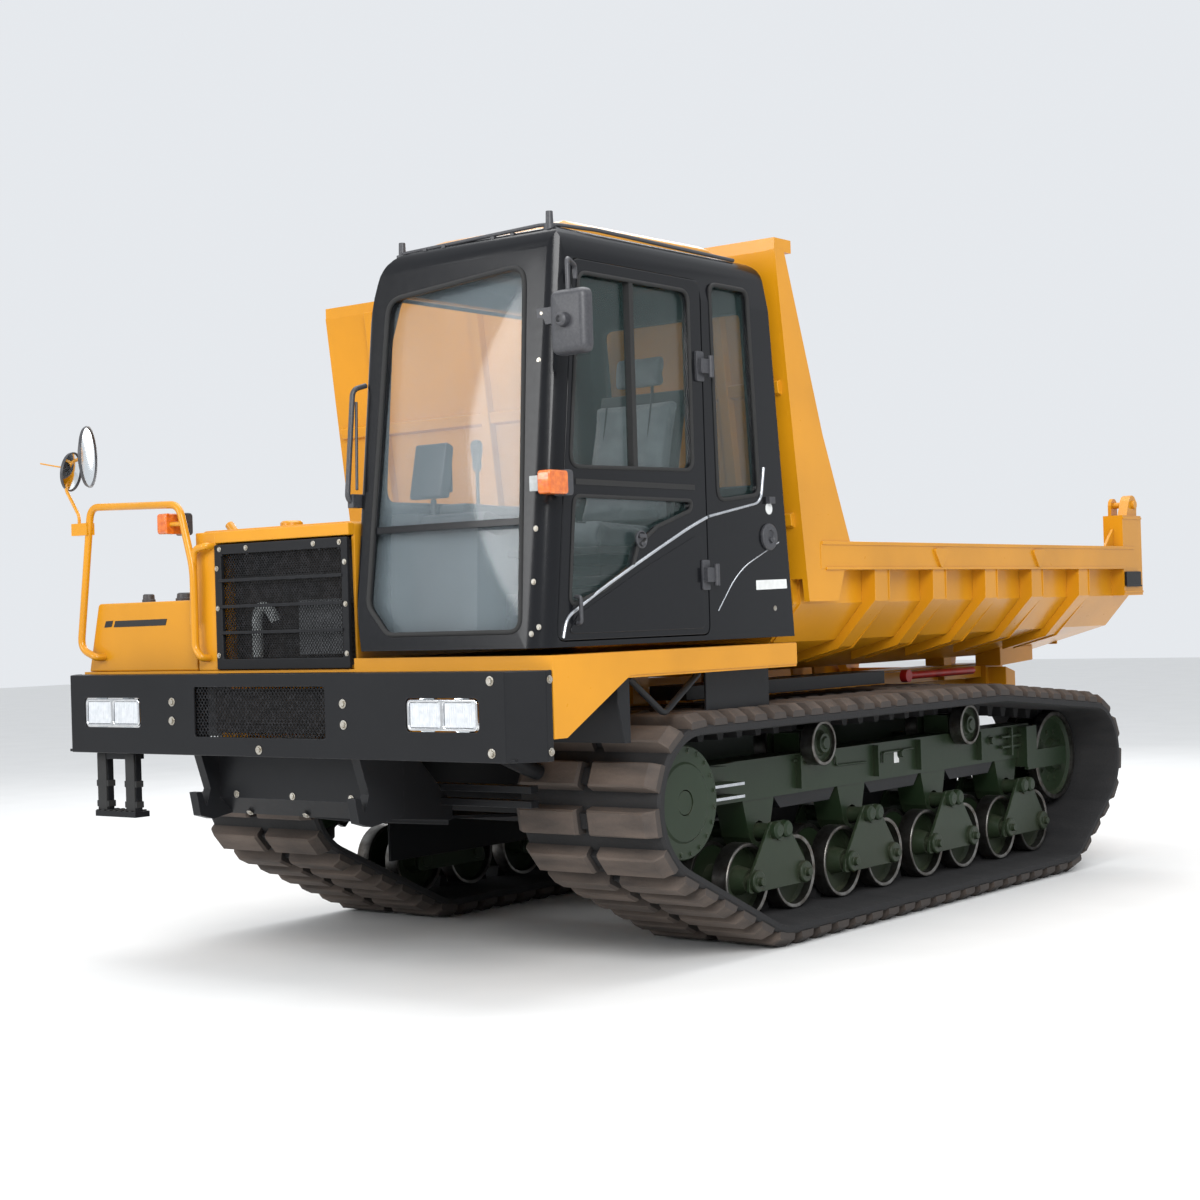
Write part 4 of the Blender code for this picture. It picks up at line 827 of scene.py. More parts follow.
# %% Idlers
for word, flip in SIDES.items():
    name = f"idler_{word}"
    centre = pivot(name + "_spin")
    wheel = Piece()
    for shape in both_ways([(0.056, 0.225), (0.056, 0.120), (0.070, 0.110), (0.070, 0.043), (0.112, 0.043),
                            (0.112, 0.074), (0.096, 0.086), (0.082, 0.100), (0.080, 0.205), (0.094, 0.222)]):
        wheel.use(0).lathe(shape, centre, (flip, 0, 0), 56)
    for shape in both_ways([(0.055, 0.222), (0.055, 0.245), (0.108, 0.245), (0.111, 0.242), (0.111, 0.222)]):
        wheel.use(1).lathe(shape, centre, (flip, 0, 0), 56)
    wheel.use(0).lathe([(-0.070, 0.043), (-0.070, 0.110), (0.070, 0.110), (0.070, 0.043)], centre)
    for n in range(10):
        a = 2 * math.pi * n / 10
        spot = (centre[0] + flip * 0.082, centre[1] + 0.135 * math.cos(a), centre[2] + 0.135 * math.sin(a))
        wheel.bolt(spot, (flip, 0, 0), 0.011, 0.008)
    wheel.done(name + "_turned", [olive, bright], name, instead=[name])
print("2 idlers turned, with their rim bolts")

# %% [markdown]
# ## Sprockets
# The sprocket drives the belt from the front. Two toothed rings sit on a drum, and a bolted cover plate
# closes the outer face. The teeth are an outline, because a flame-cut ring has the same section
# through its thickness.

# %% Sprockets with their cover plates
def toothed(centre, root, tip, teeth, offset=0.0):
    """Outline of a toothed ring as (station, z)."""
    outline = []
    for tooth in range(teeth):
        for part, radius in ((0.0, root), (0.16, tip - 0.006), (0.22, tip), (0.48, tip), (0.54, tip - 0.006),
                             (0.70, root)):
            a = 2 * math.pi * (tooth + part + offset) / teeth
            outline.append((centre[1] + radius * math.cos(a), centre[2] + radius * math.sin(a)))
    return outline


for word, flip in SIDES.items():
    centre = pivot(f"{word}_drive")
    drum = Piece()
    for near in (0.055, -0.085):
        low, high = sorted((centre[0] + flip * near, centre[0] + flip * (near + 0.030)))
        drum.use(1).slab(toothed(centre, 0.219, 0.263, 13), low, high)
    drum.use(0).lathe([(-0.105, 0.054), (-0.105, 0.190), (-0.095, 0.198), (0.228, 0.198), (0.228, 0.054)],
                      centre, (flip, 0, 0), 48)
    drum.lathe([(0.224, 0.054), (0.224, 0.240), (0.252, 0.240), (0.258, 0.234), (0.258, 0.170),
                (0.265, 0.160), (0.265, 0.054)], centre, (flip, 0, 0), 48)
    for n in range(20):
        a = 2 * math.pi * (n + 0.5) / 20
        spot = (centre[0] + flip * 0.257, centre[1] + 0.217 * math.cos(a), centre[2] + 0.217 * math.sin(a))
        drum.bolt(spot, (flip, 0, 0), 0.0095, 0.008)
    drum.done(f"sprocket_{word}_cast", [olive, bright], f"sprocket_{word}", bevel=0.002, sides=1,
              instead=[f"sprocket_{word}"])
print("sprockets made")

# %% [markdown]
# ## Bogies
# Two road rollers share a rocking carrier, so the belt can follow the ground. Each carrier is a pair of
# flame-cut triangles with rounded corners; the pivot's two clamp nuts sit side by side at the top, and
# the axle ends show through below.

# %% Rocking carriers
for word, flip in SIDES.items():
    for number in range(1, 5):
        name = f"bogie_{word}_{number}"
        x, station, z = pivot(name + "_rock")
        rear = pivot(f"road_roller_{word}_{number}b_spin")
        spread, drop = rear[1] - station, rear[2]
        outline = rounded([(station - spread - 0.062, drop - 0.050), (station + spread + 0.062, drop - 0.050),
                           (station + spread + 0.048, drop + 0.012), (station + 0.062, z + 0.050),
                           (station - 0.062, z + 0.050), (station - spread - 0.048, drop + 0.012)], 0.022)
        plates = Piece()
        for near in (0.165, -0.181):
            low, high = sorted((x + flip * near, x + flip * (near + 0.016)))
            plates.slab(outline, low, high)
        for at, height, radius in ((station, z, 0.038), (station - spread, drop, 0.033),
                                   (station + spread, drop, 0.033)):
            plates.bar((x - 0.190, at, height), (x + 0.190, at, height), radius, 24)
        for at in (station - spread, station + spread):
            plates.lathe([(0.180, 0.001), (0.180, 0.050), (0.196, 0.050), (0.202, 0.044), (0.202, 0.020),
                          (0.222, 0.018), (0.222, 0.001)], (x, at, drop), (flip, 0, 0), 28)
        for at in (station - 0.038, station + 0.038):
            plates.lathe([(0.175, 0.001), (0.175, 0.040), (0.205, 0.038), (0.214, 0.026), (0.214, 0.001)],
                         (x, at, z + 0.012), (flip, 0, 0), 28)
        plates.done(name + "_plates", olive, name, bevel=0.003, instead=[name])
print("8 rocking carriers made")

# %% [markdown]
# ## Brackets on the side beams
# The side beam carries welded ribs, the drive's support with its two bright flanges, the idler's
# tensioner, hoses along the top and the lubrication lines that a fitter clips to it.

# %% Beam details
for word, flip in SIDES.items():
    middle = flip * (TRACK_OUTSIDE - BELT_HALF)
    face = flip * 1.070
    extra = Piece()
    for station in (2.28, 2.98, 3.40, 4.05, 4.40):
        low, high = sorted((face - flip * 0.012, face + flip * 0.030))
        extra.block((low, high), (station, station + 0.014), (0.640, 0.792))
    low, high = sorted((face - flip * 0.010, face + flip * 0.022))
    extra.slab(rounded([(1.470, 0.635), (1.760, 0.640), (1.760, 0.800), (1.470, 0.800)], 0.02), low, high)
    low, high = sorted((flip * 1.100, flip * 1.215))
    for z in (0.715, 0.660):
        extra.block((low, high), (1.405, 1.640), (z, z + 0.012))
    low, high = sorted((flip * 1.080, flip * 1.112))
    extra.slab(rounded([(1.380, 0.640), (1.680, 0.650), (1.680, 0.790), (1.420, 0.800)], 0.02), low, high)
    for z in (0.745, 0.690):
        extra.tube([(flip * 1.085, 4.300, z), (flip * 1.085, 4.560, z), (flip * 1.030, 4.640, z - 0.02),
                    (flip * 1.030, 4.720, z - 0.05)], 0.010, 0.05)
    extra.lathe([(-0.130, 0.001), (-0.130, 0.052), (0.090, 0.052), (0.100, 0.044), (0.100, 0.001)],
                (middle, 4.660, 0.640), (0, 1, 0), 24)
    extra.tube([(flip * 1.078, 2.250, 0.770), (flip * 1.078, 2.620, 0.770), (flip * 1.078, 2.620, 0.720),
                (flip * 1.078, 2.900, 0.716)], 0.006, 0.02, 8)
    extra.tube([(flip * 1.078, 3.060, 0.700), (flip * 1.078, 3.060, 0.750), (flip * 1.078, 3.360, 0.752)],
               0.006, 0.02, 8)
    for station in (3.24, 4.20):
        extra.bolt((face, station, 0.735), (flip, 0, 0), 0.020, 0.022)
    extra.done(f"beam_brackets_{word}", olive, bevel=0.002, sides=1)
    edges = Piece()
    for z in (0.7145, 0.6595):
        edges.block(sorted((flip * 1.2145, flip * 1.2175)), (1.405, 1.640), (z, z + 0.013))
    edges.done(f"flange_edges_{word}", silver, bevel=0.0008, sides=1)
    plate = Piece().block(sorted((face, face + flip * 0.0012)), (3.180, 3.228), (0.690, 0.755))
    plate.done(f"beam_label_{word}", white_mark, bevel=0.0004, sides=1)
print("beam details made")

# %% [markdown]
# ## The cab's shell
# A pressed cab is round in every direction, which no single extrusion gives. Two long prisms are
# crossed instead, its outline from the side and from the front, and two more round the front pillars.
# What they share has the right silhouette from every side. The same two, a wall's thickness smaller,
# hollow it out.

# %% Cab outlines
cab_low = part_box("cab_frame")[0]
FLOOR, RIGHT, LEFT = cab_low.z, cab_low.x, 1.361
EAVES, CROWN, RAKE, WALL = 2.900, 2.985, 0.1125, 0.045


def front_at(z):
    return 0.120 + (z - FLOOR) * RAKE


def rear_at(z):
    return 1.851 - (z - FLOOR) * 0.10


def cab_solid(inset=0.0):
    """The cab's side and front prisms, drawn in by an inset."""
    low = FLOOR + (0.049 if inset else 0.0)
    side = rounded([(front_at(FLOOR), FLOOR, 0.0), (rear_at(FLOOR), FLOOR, 0.0), (rear_at(EAVES), 2.97, 0.09),
                    (front_at(EAVES) + 0.010, 2.97, 0.11)], 0.0)
    face = rounded([(0.421, FLOOR, 0.0), (LEFT, FLOOR, 0.0), (LEFT, 2.76, 0.06), (1.335, 2.955, 0.10),
                    (1.20, CROWN, 0.05), (0.60, CROWN, 0.10), (0.43, 2.915, 0.16), (0.349, 2.62, 0.2),
                    (0.349, 1.66, 0.12)], 0.0)
    side, face = ([(a, max(low, b)) for a, b in shifted(outline, -inset)] for outline in (side, face))
    return Piece().slab(side, RIGHT - 0.1, LEFT + 0.1), Piece().slab(face, 0.0, 2.0, axis="y")


def corner_cut(x, reach, inset=0.0):
    """Rounds a front pillar seen from above, following the raked front."""
    flip = 1 if x > 0.8 else -1
    edge = x - flip * inset
    rings = []
    for z in (FLOOR - 0.1, CROWN + 0.1):
        start = front_at(z) + inset
        arc = [(edge - flip * reach * (1 - math.sin(a)), start + reach * (1 - math.cos(a)))
               for a in (math.pi / 2 * n / 6 for n in range(7))]
        outline = arc + [(edge + flip * 0.2, start + reach), (edge + flip * 0.2, start - 0.2),
                         (edge - flip * reach, start - 0.2)]
        rings.append([place(a, b, z) for a, b in outline])
    return Piece().loops(rings)


shield = rounded([(0.446, 1.530), (0.560, 1.414), (1.246, 1.414, 0.05), (1.190, 2.820), (0.474, 2.765)],
                 0.075)
door_gap = rounded([(front_at(1.371) + 0.080, 1.371), (1.211, 1.371), (1.211, 2.840),
                    (front_at(2.84) + 0.080, 2.840)],
                   0.045)
quarter = rounded([(1.294, 1.930), (1.603, 1.962), (1.553, 2.832), (1.275, 2.832)], 0.045)
far_window = rounded([(0.320, 1.950), (1.600, 1.950), (1.540, 2.800), (0.400, 2.800)], 0.06)
rear_window = oblong((0.470, 1.240), (2.010, 2.770), 0.05)
print("cab drawn from", round(FLOOR, 3), "to", CROWN, "with four openings and a door gap")

# %% [markdown]
# ## Cutting the shell
# The pressed shell could be modelled as a surface, patch by patch. Crossing the prisms and then cutting
# windows through the wall follows how the eye reads it: a round box with holes, each with its own
# thickness showing at the rim.

# %% Cut the cab's shell
side, face = cab_solid()
hollow_side, hollow_face = cab_solid(WALL)
hollow = bpy.data.objects.new("hollow", hollow_side.mesh("hollow"))
bpy.context.scene.collection.objects.link(hollow)
carve(hollow, [hollow_face], "INTERSECT")
shell = bpy.data.objects.new("cab_shell", side.mesh("cab_shell"))
bpy.context.scene.collection.objects.link(shell)
carve(shell, [face], "INTERSECT")
carve(shell, [corner_cut(LEFT, 0.085), corner_cut(RIGHT, 0.060)])
step = shell.modifiers.new("hollow", "BOOLEAN")
step.operation, step.object, step.solver = "DIFFERENCE", hollow, "EXACT"
bpy.context.view_layer.update()
hollowed = bpy.data.meshes.new_from_object(shell.evaluated_get(bpy.context.evaluated_depsgraph_get()))
shell.modifiers.clear()
shell.data = hollowed
bpy.data.objects.remove(hollow, do_unlink=True)
carve(shell, [Piece().slab(shield, 0.0, 0.60, axis="y"), Piece().slab(door_gap, 1.20, 1.50),
              Piece().slab(quarter, 1.20, 1.50), Piece().slab(far_window, 0.20, 0.50),
              Piece().slab(rear_window, 1.40, 2.10, axis="y")])
shell.data.materials.clear()
shell.data.materials.append(cab_black.material)
polish(shell, 0.006, 2, 28)
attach(shell, "root")
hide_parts("cab_frame")
print("cab shell has", len(shell.data.polygons), "faces")

# %% [markdown]
# ## Glass, seals and the sun roof panel
# Each opening gets a rubber seal, which is a bead pressed over the edge, and a pane just inside it.
# The windshield is split by a bar. The roof carries a shallow pressed panel in the body colour between
# two lamp pegs.

# %% Seals and fixed panes
def bead(outline, spot):
    """The path of a rubber bead along an outline; spot turns an outline point into a place."""
    return [spot(a, b) for a, b in outline]


seals = Piece()
seals.tube(bead(shield, lambda x, z: (x, front_at(z) + 0.002, z)), 0.010, 0.02, 10, True, 3)
seals.tube(bead(quarter, lambda s, z: (LEFT - 0.001, s, z)), 0.009, 0.02, 10, True, 3)
seals.tube(bead(far_window, lambda s, z: (RIGHT + 0.004, s, z)), 0.009, 0.02, 10, True, 3)
seals.tube(bead(rear_window, lambda x, z: (x, rear_at(z) - 0.002, z)), 0.009, 0.02, 10, True, 3)
seals.done("cab_seals", seal)
quarter_pane = Piece().slab(shifted(quarter, 0.012), LEFT - 0.030, LEFT - 0.025)
quarter_pane.done("quarter_glass", dark_glass)
rear_pane = Piece().loops([[place(x, rear_at(z) - near, z) for x, z in shifted(rear_window, 0.012)]
                           for near in (0.024, 0.030)])
rear_pane.done("rear_glass", glass)
bars = Piece()
bars.loops([[place(x, front_at(z) + near, z) for near, z in (
    (0.006, 1.818), (0.006, 1.846), (0.040, 1.846), (0.040, 1.818))] for x in (0.440, 1.236)])
bars.tube([(0.452, front_at(1.53) + 0.012, 1.530), (0.475, front_at(2.76) + 0.012, 2.76)], 0.006, 0.02, 8)
bars.done("shield_bars", cab_black, bevel=0.002)
print("seals and panes fitted")

# %% [markdown]
# ## Roof
# The roof is a pressed panel in the body colour, with a rain rim round it and two pegs for work lamps.
# The panel is skinned over four cross sections, which gives it a slight crown towards the middle.

# %% Roof panel, rim and pegs
roof = Piece()
crown = [(front_at(EAVES) + 0.075, 2.960), (front_at(EAVES) + 0.240, 3.022), (1.45, 3.030), (1.63, 2.972)]
rings = []
for x, drop in ((0.500, 0.030), (0.560, 0.0), (1.190, 0.0), (1.240, 0.022)):
    rings.append([place(x, a, b - drop * (b > 3.0)) for a, b in crown] +
                 [place(x, 1.60, 2.940), place(x, 0.45, 2.940)])
roof.loops(rings)
roof.done("roof_panel", yellow, bevel=0.010, sides=3, instead=["cab_roof"])
rim = Piece()
start = front_at(EAVES) + 0.052
rim.tube([(0.470, start + 0.03, 2.925), (0.490, start, 2.957), (1.235, start, 2.975),
          (1.285, start + 0.03, 2.972), (1.30, 0.60, 2.978), (1.30, 1.55, 2.968)], 0.008, 0.03)
for x in (0.62, 0.72, 0.98, 1.08):
    rim.block((x, x + 0.018), (start - 0.012, start + 0.020), (2.938, 2.962))
for x, z in ((0.487, 2.935), (1.262, 2.955)):
    rim.bar((x, start + 0.010, z), (x, start + 0.010, z + 0.070), 0.016, 16, 0.85)
    rim.bar((x, start + 0.010, z - 0.01), (x, start + 0.010, z + 0.018), 0.024, 16)
rim.done("roof_rim", housing, bevel=0.001, sides=1)
print("roof dressed")

# %% [markdown]
# ## The door
# The door is a frame of pressed steel round two windows. Its upper window slides, so a dark upright
# divides it, and the lower window is cut along the slope of the silver moulding. All of it rides on the
# door's own body, so the glass and seals swing with it.

# %% Door panel
upper = rounded([(front_at(2.03) + 0.118, 2.035), (1.118, 2.050), (1.118, 2.785),
                 (front_at(2.785) + 0.118, 2.785)], 0.05)
lower = rounded([(front_at(1.5) + 0.150, 1.505, 0.03), (0.500, 1.565, 0.1), (0.690, 1.655, 0.03),
                 (0.730, 1.740, 0.06), (0.860, 1.815, 0.05), (1.095, 1.885, 0.03), (1.100, 1.925, 0.02),
                 (front_at(1.9) + 0.150, 1.925)], 0.04)
leaf = rounded([(front_at(1.375) + 0.084, 1.375), (1.207, 1.375), (1.207, 2.836),
                (front_at(2.836) + 0.084, 2.836)],
               0.042)
door = Piece().slab(leaf, LEFT - 0.036, LEFT)
door.done("door_panel", cab_black, "cab_door", bevel=0.005, instead=["cab_door"], cutters=[
    Piece().slab(upper, 1.2, 1.5), Piece().slab(lower, 1.2, 1.5)])
panel = Piece().slab(rounded([(front_at(1.46) + 0.135, 1.400, 0.02), (1.170, 1.400, 0.03),
                              (1.170, 1.800, 0.05), (0.740, 1.640, 0.3), (0.330, 1.470, 0.05)], 0.03),
                     LEFT - 0.002, LEFT + 0.004)
panel.done("door_lower_skin", cab_black, "cab_door", bevel=0.003, sides=3)
seals = Piece()
for outline in (upper, lower):
    seals.tube(bead(outline, lambda s, z: (LEFT, s, z)), 0.008, 0.02, 10, True, 3)
seals.block((LEFT - 0.030, LEFT + 0.002), (0.715, 0.742), (2.045, 2.780))
seals.block((LEFT - 0.006, LEFT + 0.003), (front_at(2.0) + 0.150, 1.125), (1.968, 1.990))
seals.done("door_seals", seal, "cab_door", bevel=0.002, sides=1)
panes = Piece().slab(shifted(upper, 0.012), LEFT - 0.028, LEFT - 0.023)
panes.slab(shifted(lower, 0.012), LEFT - 0.026, LEFT - 0.021)
panes.done("door_panes", dark_glass, "cab_door", instead=["door_glass"])
print("door panel cut")

# %% [markdown]
# ## Door fittings
# Hinges carry the door and a round latch with a grip closes it. A bright moulding follows the slope of the
# lower window. Round bar bent through points is the simplest way to draw the moulding, since it is
# a strip with rounded ends.

# %% Door fittings
fittings = Piece()
for z in (1.620, 2.480):
    fittings.slab(oblong((1.152, 1.205), (z - 0.062, z + 0.062), 0.010),
                  LEFT - 0.001, LEFT + 0.012)
    fittings.bar((1.391, 1.225, z - 0.045), (1.391, 1.225, z + 0.045), 0.013, 20)
    fittings.block((LEFT + 0.006, 1.392), (1.160, 1.222), (z - 0.030, z + 0.030))
fittings.lathe([(0.0, 0.001), (0.0, 0.034), (0.010, 0.036), (0.012, 0.030), (0.005, 0.026), (0.005, 0.001)],
               (LEFT, 0.744, 1.762), (1, 0, 0), 32)
fittings.slab(oblong((0.722, 0.766), (1.768, 1.784), 0.006), LEFT + 0.003, LEFT + 0.018)
fittings.bar((LEFT + 0.004, 0.744, 1.745), (LEFT + 0.014, 0.744, 1.745), 0.008, 16)
fittings.tube([(LEFT - 0.002, 0.325, 1.440), (LEFT + 0.024, 0.325, 1.440), (LEFT + 0.024, 0.325, 1.540),
               (LEFT - 0.002, 0.325, 1.540)], 0.008, 0.018)
fittings.done("door_fittings", housing, "cab_door", bevel=0.002)
moulding = Piece().tube([(LEFT + 0.003, 0.238, 1.385), (LEFT + 0.003, 0.262, 1.462),
                         (LEFT + 0.003, 0.480, 1.568), (LEFT + 0.003, 0.740, 1.678),
                         (LEFT + 0.003, 1.080, 1.816), (LEFT + 0.003, 1.203, 1.858)],
                        0.0065, 0.12, 10)
moulding.done("door_moulding", silver, "cab_door")
moulding = Piece().tube([(LEFT + 0.003, 1.215, 1.862), (LEFT + 0.003, 1.610, 1.930),
                         (LEFT + 0.003, 1.640, 2.080)],
                        0.0060, 0.05, 10)
moulding.tube([(LEFT + 0.001, 1.270, 1.470), (LEFT + 0.001, 1.430, 1.640), (LEFT + 0.001, 1.745, 1.760)],
              0.0025, 0.2, 8)
moulding.done("cab_moulding", silver)
print("door fittings made")

# %% [markdown]
# ## Outside the cab
# A wiper, a rail beside the windshield, a filler cover, the bolt heads and two unprinted labels finish the
# outside. They are small, but without them a cab looks like a toy.

# %% Cab outside details
outside = Piece()
outside.lathe([(-0.004, 0.001), (-0.004, 0.058), (0.010, 0.058), (0.016, 0.050), (0.016, 0.030),
               (0.008, 0.026), (0.008, 0.001)], (LEFT, 1.664, 1.782), (1, 0, 0), 36)
outside.bar((LEFT, 1.672, 1.770), (LEFT + 0.016, 1.672, 1.770), 0.010, 16)
outside.block((LEFT - 0.004, LEFT + 0.020), (1.655, 1.700), (1.925, 1.955))
outside.tube([(RIGHT + 0.004, front_at(2.42) + 0.020, 2.430), (RIGHT - 0.006, front_at(2.4) - 0.045, 2.410),
              (RIGHT - 0.006, front_at(1.97) - 0.045, 1.960), (RIGHT + 0.004, front_at(1.94) + 0.020, 1.940)],
             0.011, 0.03)
outside.tube([(RIGHT + 0.002, front_at(2.36) - 0.030, 2.360), (RIGHT + 0.030, front_at(2.05) - 0.034, 2.000)],
             0.006)
outside.block((RIGHT - 0.018, RIGHT + 0.014), (front_at(1.95) - 0.03, front_at(1.95) + 0.03), (1.930, 1.985))
outside.block((LEFT - 0.10, LEFT + 0.002), (front_at(2.6) + 0.002, front_at(2.6) + 0.05), (2.575, 2.640))
outside.done("cab_outside", housing, bevel=0.002)
heads = Piece()
for x, z in ((1.285, 2.62), (1.280, 2.44), (1.300, 1.955), (1.300, 1.800), (1.300, 1.600), (1.335, 1.430),
             (1.300, 1.405)):
    heads.bolt((x, front_at(z) + 0.004, z), (0, -1, 0), 0.008, 0.006)
heads.bolt((LEFT, 1.70, 1.475), (1, 0, 0), 0.008, 0.006)
heads.done("cab_bolts", bolt_metal, bevel=0.001, sides=1)
marks = Piece().lathe([(0.0, 0.0005), (0.0, 0.026), (0.0012, 0.026), (0.0012, 0.0005)], (LEFT, 1.676, 1.905),
                      (1, 0, 0), 28)
marks.slab(rounded([(1.560, 1.555), (1.800, 1.560), (1.796, 1.600), (1.560, 1.596)], 0.004), LEFT,
           LEFT + 0.0012)
marks.done("cab_blank_labels", white_mark)
print("cab outside finished")


# %% [markdown]
# ## Turn signals and mirrors
# A lamp is a lens on a housing: the lens is clear amber with fine ribs inside, and the housing is black.
# The door mirror hangs from a bent tube that turns in the pillar's lug.

# %% Turn signals
def turn_signal(name, x, station, z, flip):
    lamp = Piece().slab(oblong((station, station + 0.115), (z - 0.045, z + 0.045), 0.016),
                        *sorted((x, x + flip * 0.062)))
    lamp.done(name + "_lens", amber, bevel=0.008, sides=3)
    back = Piece().slab(oblong((station + 0.095, station + 0.150), (z - 0.049, z + 0.049), 0.018),
                        *sorted((x - flip * 0.004, x + flip * 0.058)))
    back.done(name + "_housing", housing, bevel=0.006, sides=3)


turn_signal("turn_signal_left", LEFT + 0.006, 0.105, 1.968, 1)
bracket = Piece().block((LEFT - 0.075, LEFT + 0.010), (front_at(1.97) - 0.030, front_at(1.97) - 0.024),
                        (1.940, 1.998))
bracket.block((LEFT - 0.030, LEFT + 0.012), (front_at(1.97) - 0.03, front_at(1.97) + 0.03), (1.936, 1.942))
bracket.done("turn_signal_left_bracket", pale_grey, bevel=0.001)
turn_signal("turn_signal_right", -0.690, 0.080, 1.918, -1)
print("two turn signals made")

# %% [markdown]
# ## Door mirror
# The shell is a row of rounded outlines that shrink towards its back, as a moulded part does so that it
# can leave its mould. The glass is a thin plate set a little inside the rim.

# %% Door mirror
x, station, z = pivot("cab_mirror_fold")
arm = Piece().tube([(x, station, 2.745), (x, station, 2.795), (1.490, 0.170, 2.795), (1.500, 0.160, 2.620),
                    (1.500, 0.160, 2.560)], 0.009, 0.03)
arm.lathe([(0.0, 0.001), (0.0, 0.030), (0.034, 0.026), (0.040, 0.018), (0.040, 0.001)], (1.500, 0.140, 2.560),
          (0, -1, 0), 24)
arm.block((1.484, 1.516), (0.100, 0.165), (2.546, 2.576))
arm.done("door_mirror_arm", housing, "cab_mirror", bevel=0.002)
back = oblong((1.424, 1.596), (2.434, 2.676), 0.035, 6)
rings = [[place(a, station, b) for a, b in shifted(back, grow)] for station, grow in (
    (0.130, -0.026), (0.133, -0.016), (0.142, -0.006), (0.158, 0.0), (0.180, 0.0), (0.184, -0.004))]
shell = Piece().loops(rings)
shell.done("door_mirror_shell", housing, "cab_mirror", bevel=0.0, instead=["cab_mirror"])
face = Piece().loops([[place(a, station, b) for a, b in shifted(back, -0.010)] for station in (0.183, 0.187)])
face.done("door_mirror_glass", mirror_glass, "cab_mirror")
print("door mirror hangs from", [round(v, 3) for v in (x, station, z)])

# %% [markdown]
# ## Bumper, lamps and guard
# The bumper is folded plate with a window for the radiator's air, closed by expanded metal. Expanded
# metal is a lattice of crossing strands; modelling the strands, rather than painting holes, lets the
# light through as the real sheet does.

# %% Bumper
low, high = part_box("front_bumper")
BOTTOM, TOP, HALF = low.z, high.z, high.x
corner, depth, skin = HALF - 0.110, 0.147, 0.012


def folded(inset):
    return [(-HALF + inset, depth), (-HALF + inset, 0.110 + inset * 0.4), (-corner + inset * 0.4, inset),
            (corner - inset * 0.4, inset), (HALF - inset, 0.110 + inset * 0.4), (HALF - inset, depth)]


bumper = Piece().slab(folded(0.0) + folded(skin)[::-1], BOTTOM, TOP, axis="z")
window = oblong((-0.452, 0.325), (1.008, 1.216), 0.012)
openings = [Piece().slab(window, -0.05, 0.05, axis="y")]
for x in (0.952, -0.987):
    openings.append(Piece().slab(oblong((x - 0.186, x + 0.186), (1.042, 1.170), 0.022), -0.05, 0.05,
                                 axis="y"))
bumper.done("bumper_plate", satin_black, bevel=0.004, sides=3, instead=["front_bumper"], cutters=openings)
lip = Piece().slab([(-corner, 0.004), (corner, 0.004), (HALF - 0.012, 0.112), (HALF - 0.012, 0.147),
                    (-HALF + 0.012, 0.147), (-HALF + 0.012, 0.112)], TOP - 0.014, TOP - 0.001, axis="z")
for x in (-0.52, 0.395):
    lip.block((x, x + 0.014), (0.012, 0.13), (BOTTOM + 0.006, TOP - 0.016))
lip.block((-1.30, 1.30), (0.012, 0.10), (BOTTOM + 0.002, BOTTOM + 0.014))
lip.done("bumper_inside", satin_black, bevel=0.002)
print("bumper folded, with", len(openings), "openings")

# %% [markdown]
# ## Expanded metal and the cooler behind it
# The sheet is slit and pulled until the slits open into diamonds. It could be faked with a flat
# pattern of holes; real strands catch the light on both sides and show the oil cooler between them.

# %% Expanded metal
def lattice(x, z, station, pitch=0.020, strand=0.0022):
    """Crossing strands filling a rectangle; their ends stop at its edges."""
    piece = Piece()
    wide, tall = x[1] - x[0], z[1] - z[0]
    for lean in (1, -1):
        start = -tall * 0.8
        while start < wide:
            a, b = max(0.0, start), min(wide, start + tall * 0.8)
            if b - a > pitch * 0.3:
                heights = ((a - start) / 0.8, (b - start) / 0.8)
                ends = [(x[0] + s, station, z[0] + (h if lean > 0 else tall - h))
                        for s, h in zip((a, b), heights)]
                piece.bar(*ends, strand, 4)
            start += pitch
    return piece


mesh = lattice((-0.452, 0.325), (1.008, 1.216), 0.016)
mesh.done("bumper_mesh", satin_black)
core = Piece()
core.block((-0.40, 0.28), (0.075, 0.095), (1.02, 1.205))
for n in range(11):
    core.block((-0.395, 0.275), (0.068, 0.077), (1.028 + n * 0.016, 1.034 + n * 0.016))
core.block((-0.395, 0.275), (0.062, 0.068), (1.060, 1.066))
core.done("oil_cooler", shaded_core, bevel=0.001, sides=1)
heads = Piece()
for x, z in ((-0.590, 1.153), (-0.593, 1.073), (0.428, 1.148), (0.430, 1.065), (1.20, 1.235), (1.20, 0.965),
             (-0.06, 0.958)):
    heads.bolt((x, 0.0, z), (0, -1, 0), 0.013, 0.010)
for flip in (1, -1):
    for z in (1.235, 0.965):
        heads.bolt((flip * HALF, 0.130, z), (flip, 0, 0), 0.011, 0.009)
heads.done("bumper_bolts", bolt_metal, bevel=0.001, sides=1)
print("mesh panel and bolts made")

# %% [markdown]
# ## Head lamps
# Each unit holds two square lamps in a bright bezel: a reflector bowl, a lens with vertical flutes that
# spread the beam, and the bezel's rounded frame round both.

